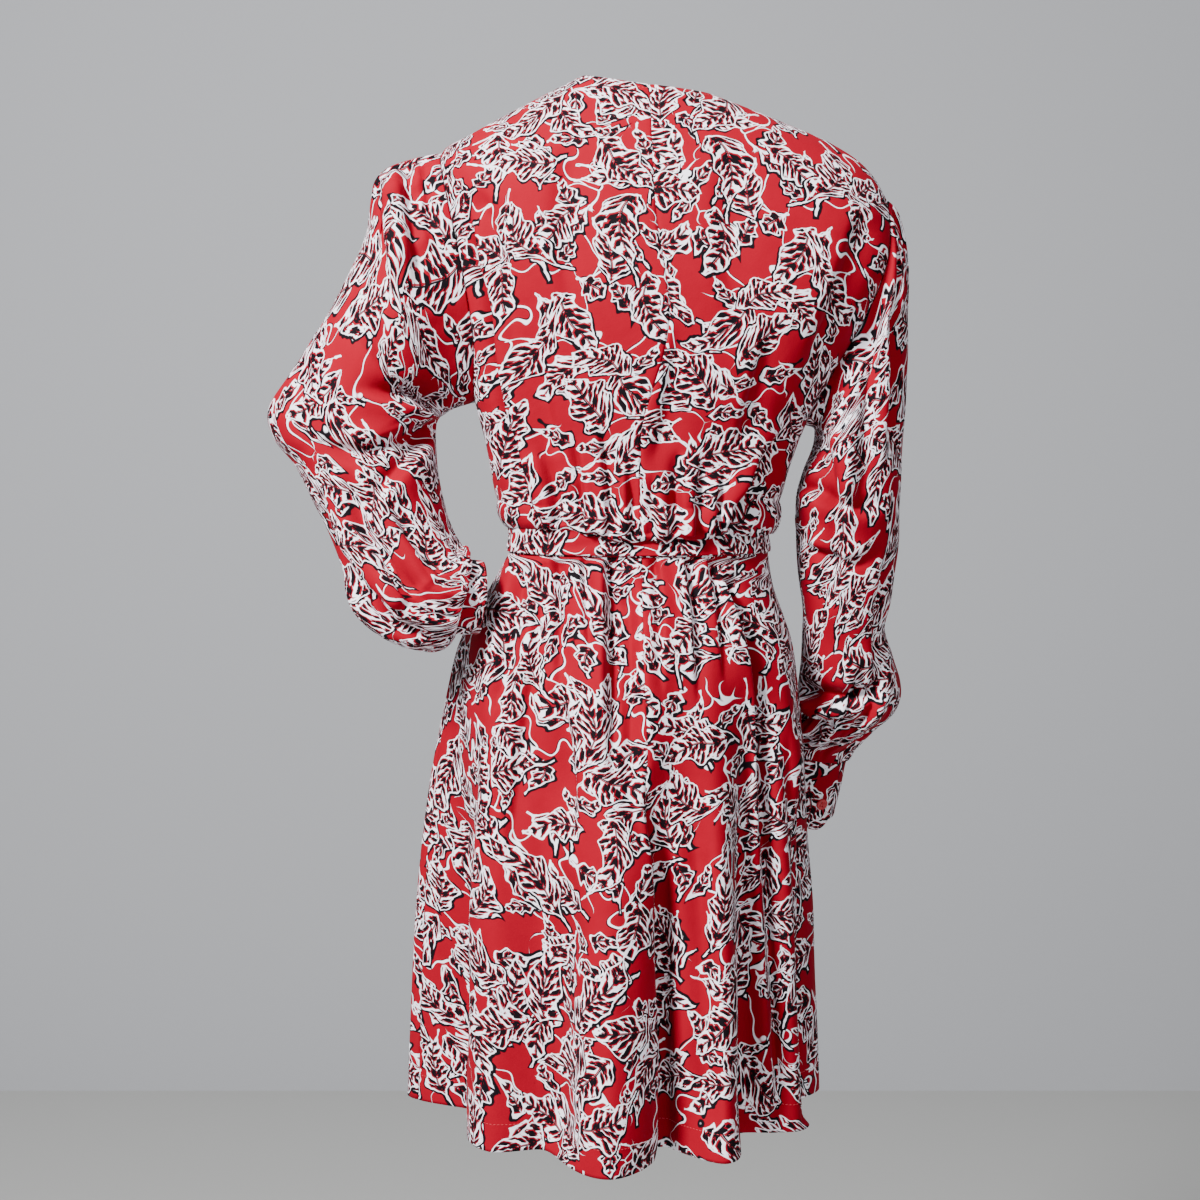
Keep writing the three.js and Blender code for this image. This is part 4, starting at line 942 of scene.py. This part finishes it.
class DRESS_OT_sleeves(bpy.types.Operator):
    """Lays the two bishop sleeves, gathered at the armhole and into the cuff"""
    bl_idname = "dress.sleeves"
    bl_label = "Sleeves"

    def execute(self, context):
        look = context.scene.dress_cloth
        for side, columns, rows, flat, area, shift in (
                ("left", 190, 160, (0.5, 0.56), 0.215, (150, 300)),
                ("right", 180, 160, (0.4, 0.53), 0.175, (710, 130))):
            way = CUFFS[side]["way"]
            surface, last = sleeve_surface(side, look.gather_depth)
            turn = np.linspace(0, TURN, columns + 1)[None, :] - BACK
            position = np.linspace(0, last, rows + 1)[:, None]
            turn, position = np.broadcast_arrays(turn, position)
            base = surface(turn, position)
            outward = normals_of(surface, turn, position, way)
            behind = crease_out(f"sleeve_{side}_back", base, look.crease_depth) * smooth(np.sin(turn) * 2.2)
            before = crease_out(f"sleeve_{side}_front", base, look.crease_depth) * smooth(-np.sin(turn) * 2.2)
            calm = smooth(position / 0.8) * smooth((13.2 - position) / 1.5)
            out = (behind + before + ripple(base, 5, 70, 0.8)) * calm
            points = base + outward * out[..., None]
            own = np.cumsum(np.linalg.norm(np.diff(base, axis=0), axis=-1), axis=0)
            own = np.concatenate([np.zeros((1, columns + 1)), own])
            mean = own.mean(axis=1, keepdims=True)
            cut = np.stack([(turn / TURN) * flat[0] / MM, 0.3 * own + 0.7 * mean], -1) + np.array(shift)
            piece = sewn_piece(f"sleeve_{side}_cloth", points, outward, cut, True, look.thickness / MM)
            dress_up(piece, cloth_material(), (f"sleeve_{side}",))
        return {"FINISHED"}


def cuff_spots(cuff, around_share, part):
    """Places on the cuff's strip, with the rounded corner and the drop of its flap."""
    around = around_share * CUFF_LENGTH
    inset = np.maximum(CUFF_CORNER - (CUFF_LENGTH - around), 0)
    rounding = CUFF_CORNER - np.sqrt(np.maximum(CUFF_CORNER ** 2 - inset ** 2, 0))
    drop = cuff["drop"] * smooth((around - CUFF_LENGTH + 70) / 60)
    return around, part * (CUFF_DEPTH + drop - rounding)


class DRESS_OT_cuffs(bpy.types.Operator):
    """Lays the two deep cuffs, each one strip lapped over itself"""
    bl_idname = "dress.cuffs"
    bl_label = "Cuffs"

    def execute(self, context):
        for side, shift in (("left", (60, 800)), ("right", (420, 900))):
            cuff = CUFFS[side]
            share = 1 - (1 - np.linspace(0, 1, 151)) ** 1.25
            part = np.linspace(0, 1, 27)
            around, depth = cuff_spots(cuff, share[None, :], part[:, None])
            around = around * np.ones_like(depth)
            points = cuff_surface(cuff, around, depth)
            top, axis, _, _ = cuff_frame(cuff)
            from_axis = points - top - ((points - top) @ axis)[..., None] * axis
            outward = from_axis / np.linalg.norm(from_axis, axis=-1, keepdims=True)
            puff = 0.5 * np.sin(math.pi * part)[:, None] + ripple(points, 4, 26, 0.25)
            points = points + outward * puff[..., None]
            cut = np.stack([around, depth], -1) + np.array(shift)
            piece = sewn_piece(f"cuff_{side}_cloth", points, outward, cut, False, CUFF_WALL - 0.4)
            dress_up(piece, cloth_material(), (f"cuff_{side}",))
        return {"FINISHED"}


def belt_lift(angle):
    """How far the belt's middle lies out from the bodice, further over the lapped front."""
    turned = np.degrees(angle)
    over = smooth((turned - 180) / 20) * (1 - smooth((turned - 326) / 20))
    return 1.6 / 2 + 0.6 + BELT_WALL / 2 + LAYER_LIFT * over


class DRESS_OT_belt(bpy.types.Operator):
    """Lays the tie belt round the waist, with its knot and its two hanging ends"""
    bl_idname = "dress.belt"
    bl_label = "Belt"

    def execute(self, context):
        turn = np.linspace(0, TURN, 241)[None, :]
        part = np.linspace(0, 1, 15)[:, None]
        ring = BELT_TOP_RING + (BELT_FOOT_RING - BELT_TOP_RING) * part
        turn, ring = np.broadcast_arrays(turn, ring)
        base = torso(turn, ring)
        outward = normals_of(torso, turn, ring)
        crush = 0.5 * np.sin(part * 9 + 2 * np.sin(turn * 5)) * np.sin(math.pi * part)
        roll = 0.4 * np.sin(turn * 17 + 3 * np.sin(turn * 3))
        points = base + outward * (belt_lift(turn) + 0.35 + crush + roll * np.sin(math.pi * part))[..., None]
        cut = np.stack([turn * 110, part * BELT_WIDTH * np.ones_like(turn)], -1) + np.array((0, 1100))
        band = sewn_piece("belt_band_cloth", points, outward, cut, True, BELT_WALL - 0.4)
        dress_up(band, cloth_material(), ("belt_band",))

        for name, (middle, length, cut_length) in BELT_ENDS.items():
            down = np.linspace(0.006, length, 61)[:, None]
            across = np.linspace(-1, 1, 15)[None, :]
            width = (1 - 0.4 * (1 - smooth(down / 0.15))) * BELT_WIDTH / 2
            plain = skirt(middle, down)
            angle = middle + across * width / np.hypot(plain[..., 0], plain[..., 1])
            down = down * np.ones_like(across)
            base = skirt(angle, down)
            outward = normals_of(skirt, angle, down)
            wave = 0.7 * np.sin(down * 20 + across * 1.4) + 0.5 * np.sin(across * 5 + down * 9)
            points = base + outward * (LAYER_LIFT + 1.6 + 1.6 + wave * smooth(down / 0.1))[..., None]
            gone = cut_lengths(base, 7)[..., 1]
            cut = np.stack([across * BELT_WIDTH / 2 * np.ones_like(down), gone], -1) + np.array((300, 1200))
            end = sewn_piece(f"{name}_cloth", points, outward, cut, False, 1.2)
            dress_up(end, cloth_material(), (name,))
        self.knot()
        return {"FINISHED"}

    def knot(self):
        """One turn of the belt over itself, pinched at its two sides."""
        low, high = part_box("belt_knot")
        middle = (low + high) / 2
        angle = math.radians(311)
        outward = normals_of(torso, np.array([angle]), np.array([12.45]))[0]
        sideways = np.cross(outward, [0, 0, 1])
        sideways /= np.linalg.norm(sideways)
        upward = np.cross(sideways, outward)
        turn = np.linspace(0, TURN, 49)[None, :]
        part = np.linspace(-1, 1, 25)[:, None]
        pinch = np.sqrt(np.maximum(1 - np.abs(part) ** 3.2, 0.0)) * 0.93 + 0.02
        fold = 1 + 0.05 * np.cos(turn * 7 + part * 3) + 0.04 * np.cos(turn * 13 - part * 5)
        tall, deep = 13.0 * pinch * fold, 7.0 * pinch * fold
        points = (np.array(middle) / MM
                  + (15.0 * part + 2.0 * np.cos(turn))[..., None] * sideways
                  + (tall * np.cos(turn))[..., None] * upward
                  + (deep * np.sin(turn))[..., None] * outward)
        from_middle = points - np.array(middle) / MM
        cut = np.stack([turn * 11 * np.ones_like(part), part * 15 * np.ones_like(turn)], -1) + np.array((500, 1300))
        piece = sewn_piece("belt_knot_cloth", points, from_middle, cut, True, 0)
        bm = bmesh.new()
        bm.from_mesh(piece.data)
        rims = [edge for edge in bm.edges if edge.is_boundary]
        bmesh.ops.holes_fill(bm, edges=rims, sides=0)
        bm.to_mesh(piece.data)
        bm.free()
        dress_up(piece, cloth_material(), ("belt_knot",))


class DRESS_OT_buttons(bpy.types.Operator):
    """Finishes the two cuff buttons and sews them on"""
    bl_idname = "dress.buttons"
    bl_label = "Buttons"

    def execute(self, context):
        # Dyed polyester resin, turned and polished: a hard, clear shine with a faint swirl of colour.
        material = bpy.data.materials.new("dyed resin button")
        material.use_nodes = True
        tree = material.node_tree
        tree.nodes.clear()
        spot = add_node(tree, "ShaderNodeTexCoord", output="Object")
        swirl = add_node(tree, "ShaderNodeTexNoise", {"Vector": spot, "Scale": 260.0, "Detail": 3.0})
        colour = add_node(tree, "ShaderNodeMix", {0: swirl, 6: linear("#8E0F1C"), 7: linear("#C9202F")}, output=2,
                          data_type="RGBA")
        shader = add_node(tree, "ShaderNodeBsdfPrincipled", {"Base Color": colour, "Roughness": 0.22, "IOR": 1.54})
        add_node(tree, "ShaderNodeOutputMaterial", {"Surface": shader})
        for side in ("left", "right"):
            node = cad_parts[f"cuff_button_{side}"]
            node.data.materials.clear()
            node.data.materials.append(material)
            node.data.polygons.foreach_set("use_smooth", [False] * len(node.data.polygons))
            self.thread(side, node)
        return {"FINISHED"}

    def thread(self, side, node):
        """Two bars of thread through the button's four holes."""
        low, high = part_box(node.name)
        middle = (low + high) / 2
        top, axis, _, _ = cuff_frame(CUFFS[side])
        from_axis = np.array(middle) / MM - top
        from_axis -= (from_axis @ axis) * axis
        outward = Vector(from_axis).normalized()
        along_cuff = Vector(axis)
        across = outward.cross(along_cuff).normalized()
        bm = bmesh.new()
        for place in (-1, 1):
            centre = middle + outward * 1.25 * MM + across * place * 1.55 * MM
            turn = Matrix((along_cuff, across, outward)).transposed().to_4x4()
            size = Matrix.Diagonal((1.9 * MM, 0.5 * MM, 0.5 * MM, 1))
            bmesh.ops.create_uvsphere(bm, u_segments=12, v_segments=8, radius=1,
                                      matrix=Matrix.Translation(centre) @ turn @ size)
        piece = finished(f"button_thread_{side}", bm)
        dress_up(piece, thread_material())


def thread_material():
    """Spun polyester sewing thread: a dull red, lighter where its twist rises as a painted highlight."""
    ready = bpy.data.materials.get("sewing thread")
    if ready:
        return ready
    material = bpy.data.materials.new("sewing thread")
    material.use_nodes = True
    tree = material.node_tree
    tree.nodes.clear()
    spot = add_node(tree, "ShaderNodeTexCoord", output="Object")
    twist = add_node(tree, "ShaderNodeTexNoise", {"Vector": spot, "Scale": 2500.0, "Detail": 1.0})
    # The colour follows the twist's bump and is lighter where it rises: a painted highlight on the thread.
    colour = add_node(tree, "ShaderNodeMix", {0: twist, 6: linear("#A50F20"), 7: linear("#D42A3A")}, output=2,
                      data_type="RGBA")
    bump = add_node(tree, "ShaderNodeBump", {"Height": twist, "Strength": 0.4, "Distance": 0.0001})
    shader = add_node(tree, "ShaderNodeBsdfPrincipled", {
        "Base Color": colour, "Normal": bump, "Roughness": 0.6, "Sheen Weight": 0.2})
    add_node(tree, "ShaderNodeOutputMaterial", {"Surface": shader})
    return material


def stitch_row(bm, line, outward, trim):
    """Sews a row of stitches along a line of points, each lying on the cloth."""
    steps = np.linalg.norm(np.diff(line, axis=0), axis=-1)
    gone = np.concatenate([[0], np.cumsum(steps)])
    spacing = trim.stitch_gap / MM
    for place in np.arange(spacing / 2, gone[-1], spacing):
        centre, ahead = (Vector([np.interp(place + shift, gone, line[:, axis]) for axis in range(3)])
                         for shift in (0, 0.5))
        up = Vector([np.interp(place, gone, outward[:, axis]) for axis in range(3)]).normalized()
        way = (ahead - centre).normalized() if (ahead - centre).length > 1e-6 else Vector((1, 0, 0))
        side = up.cross(way).normalized()
        up = way.cross(side)
        turn = Matrix((way, side, up)).transposed().to_4x4()
        size = Matrix.Diagonal((trim.stitch_length / 2, trim.thread_width / 2, trim.thread_width / 2, 1))
        bmesh.ops.create_uvsphere(bm, u_segments=6, v_segments=4, radius=1,
                                  matrix=Matrix.Translation(centre * MM) @ turn @ size)


def surface_of(piece):
    """A piece's own corner points and normals, in millimetres, to lay stitches on."""
    mesh = piece.data
    points = np.empty(len(mesh.vertices) * 3)
    mesh.vertices.foreach_get("co", points)
    normals = np.array([vertex.normal for vertex in mesh.vertices])
    return points.reshape(-1, 3) / MM, normals


class DRESS_OT_stitching(bpy.types.Operator):
    """Sews the stitching of the hem, the neckline, the wrap's edge and the cuffs"""
    bl_idname = "dress.stitching"
    bl_label = "Stitching"

    def execute(self, context):
        trim = context.scene.dress_trim
        lift = context.scene.dress_cloth.thickness / MM / 2 + 0.1
        for side in ("left", "right"):
            cuff = CUFFS[side]
            bm = bmesh.new()
            share = np.linspace(0.02, 0.994, 160)
            for part in (0.028, 0.972):
                around, depth = cuff_spots(cuff, share, part)
                line = cuff_surface(cuff, around, depth)
                top, axis, _, _ = cuff_frame(cuff)
                from_axis = line - top - ((line - top) @ axis)[:, None] * axis
                outward = from_axis / np.linalg.norm(from_axis, axis=-1, keepdims=True)
                puff = 0.5 * math.sin(math.pi * part)
                stitch_row(bm, line + outward * (CUFF_WALL / 2 - 0.15 + puff), outward, trim)
            piece = finished(f"cuff_stitching_{side}", bm)
            dress_up(piece, thread_material())
        bm = bmesh.new()
        for name, columns, rows, up in (("skirt_back_left_cloth", 150, 170, 6), ("skirt_back_right_cloth", 140, 170, 6),
                                        ("skirt_front_right_cloth", 130, 110, 4)):
            points, normals = grid_line(bpy.data.objects[name], columns, rows, row=rows - up)
            stitch_row(bm, points + normals * lift, normals, trim)
        for name, columns, rows in (("bodice_back_left_cloth", 110, 150), ("bodice_back_right_cloth", 120, 150),
                                    ("bodice_front_right_cloth", 100, 120), ("bodice_front_left_cloth", 90, 120)):
            points, normals = grid_line(bpy.data.objects[name], columns, rows, row=1)
            stitch_row(bm, points + normals * lift, normals, trim)
        for name, columns, rows, last in (("bodice_front_right_cloth", 100, 120, 100),
                                          ("bodice_front_left_cloth", 90, 120, 60)):
            points, normals = grid_line(bpy.data.objects[name], columns, rows, column=columns - 2)
            stitch_row(bm, points[1:last] + normals[1:last] * lift, normals[1:last], trim)
        piece = finished("edge_stitching", bm)
        dress_up(piece, thread_material())
        return {"FINISHED"}


def grid_line(piece, columns, rows, row=None, column=None):
    """One row or one column of a sewn piece's grid, as points and normals from side to side or downwards."""
    points, normals = surface_of(piece)
    # The grid's corners run along X first, from its lowest row, which is the last one down the cloth.
    grid = np.arange((rows + 1) * (columns + 1)).reshape(rows + 1, columns + 1)[::-1]
    line = grid[row] if row is not None else grid[:, column]
    return points[line], normals[line]


class DRESS_OT_studio(bpy.types.Operator):
    """Builds the pale floor and backdrop, the soft lights and the camera"""
    bl_idname = "dress.studio"
    bl_label = "Studio"

    def execute(self, context):
        scene = context.scene
        look = scene.dress_studio
        floor_height = -2.05
        for name, colour, place in (("studio_floor", "#BCBCBA", "floor"), ("studio_wall", "#B3B4B8", "wall")):
            bm = bmesh.new()
            bmesh.ops.create_grid(bm, x_segments=24, y_segments=24, size=4.0)
            if place == "floor":
                bmesh.ops.translate(bm, verts=bm.verts, vec=(0, 0.8, floor_height))
            else:
                bmesh.ops.rotate(bm, verts=bm.verts, matrix=Matrix.Rotation(BACK, 3, "X"))
                bmesh.ops.translate(bm, verts=bm.verts, vec=(0, -3.2, floor_height + 4.0))
            piece = finished(name, bm)
            # Matt emulsion on a smooth ground: an even, quiet surface.
            material = bpy.data.materials.new(f"matt paint {place}")
            material.use_nodes = True
            tree = material.node_tree
            tree.nodes.clear()
            shader = add_node(tree, "ShaderNodeBsdfPrincipled",
                              {"Base Color": linear(colour), "Roughness": 0.9, "Specular IOR Level": 0.2})
            add_node(tree, "ShaderNodeOutputMaterial", {"Surface": shader})
            piece.data.materials.append(material)
        aim = Vector((0, 0, -0.35))
        for name, where, size, power in (
                ("key", (1.75, 2.1, 1.6), 0.8, look.key_power), ("fill", (-0.9, 2.8, 0.1), 1.6, look.fill_power),
                ("top", (-0.4, 0.5, 1.9), 2.0, look.fill_power)):
            lamp = bpy.data.lights.new(name, "AREA")
            lamp.shape = "SQUARE"
            lamp.size = size
            lamp.energy = power
            light = bpy.data.objects.new(name, lamp)
            light.location = where
            light.rotation_euler = (aim - Vector(where)).to_track_quat("-Z", "Y").to_euler()
            scene.collection.objects.link(light)
        world = bpy.data.worlds.new("studio air")
        world.use_nodes = True
        world.node_tree.nodes["Background"].inputs["Color"].default_value = linear("#E4E6EA")
        world.node_tree.nodes["Background"].inputs["Strength"].default_value = 0.2
        scene.world = world
        lens = bpy.data.cameras.new("camera")
        lens.sensor_width = 36.0
        lens.lens = 36.0 * 1957 / 1200
        lens.shift_y = -170 / 1200
        camera = bpy.data.objects.new("camera", lens)
        camera.location = (0.037, 1.9, -0.328)
        camera.rotation_euler = (BACK, 0, math.pi)
        scene.collection.objects.link(camera)
        scene.camera = camera
        return {"FINISHED"}


class DRESS_PT_tools(bpy.types.Panel):
    """Lists the dress's sizes and its pieces"""
    bl_idname = "DRESS_PT_tools"
    bl_label = "Wrap Dress"
    bl_space_type = "VIEW_3D"
    bl_region_type = "UI"
    bl_category = "Dress"

    def draw(self, context):
        for group in ("dress_cloth", "dress_print", "dress_trim", "dress_studio"):
            look = getattr(context.scene, group)
            for name in look.__annotations__:
                self.layout.prop(look, name)
        for operator in OPERATORS:
            self.layout.operator(operator.bl_idname)


GROUPS = {"dress_cloth": DressCloth, "dress_print": DressPrint, "dress_trim": DressTrim, "dress_studio": DressStudio}
OPERATORS = (DRESS_OT_studio, DRESS_OT_bodice, DRESS_OT_skirt, DRESS_OT_sleeves, DRESS_OT_cuffs, DRESS_OT_belt,
             DRESS_OT_buttons, DRESS_OT_stitching)


def register():
    for group in GROUPS.values():
        bpy.utils.register_class(group)
    for name, group in GROUPS.items():
        setattr(bpy.types.Scene, name, bpy.props.PointerProperty(type=group))
    for operator in OPERATORS:
        bpy.utils.register_class(operator)
    bpy.utils.register_class(DRESS_PT_tools)


def unregister():
    bpy.utils.unregister_class(DRESS_PT_tools)
    for operator in reversed(OPERATORS):
        bpy.utils.unregister_class(operator)
    for name, group in GROUPS.items():
        delattr(bpy.types.Scene, name)
        bpy.utils.unregister_class(group)


def main():
    register()
    bpy.ops.dress.studio()
    bpy.ops.dress.bodice()
    bpy.ops.dress.skirt()
    bpy.ops.dress.sleeves()
    bpy.ops.dress.cuffs()
    bpy.ops.dress.belt()
    bpy.ops.dress.buttons()
    bpy.ops.dress.stitching()


if __name__ == "__main__":
    main()
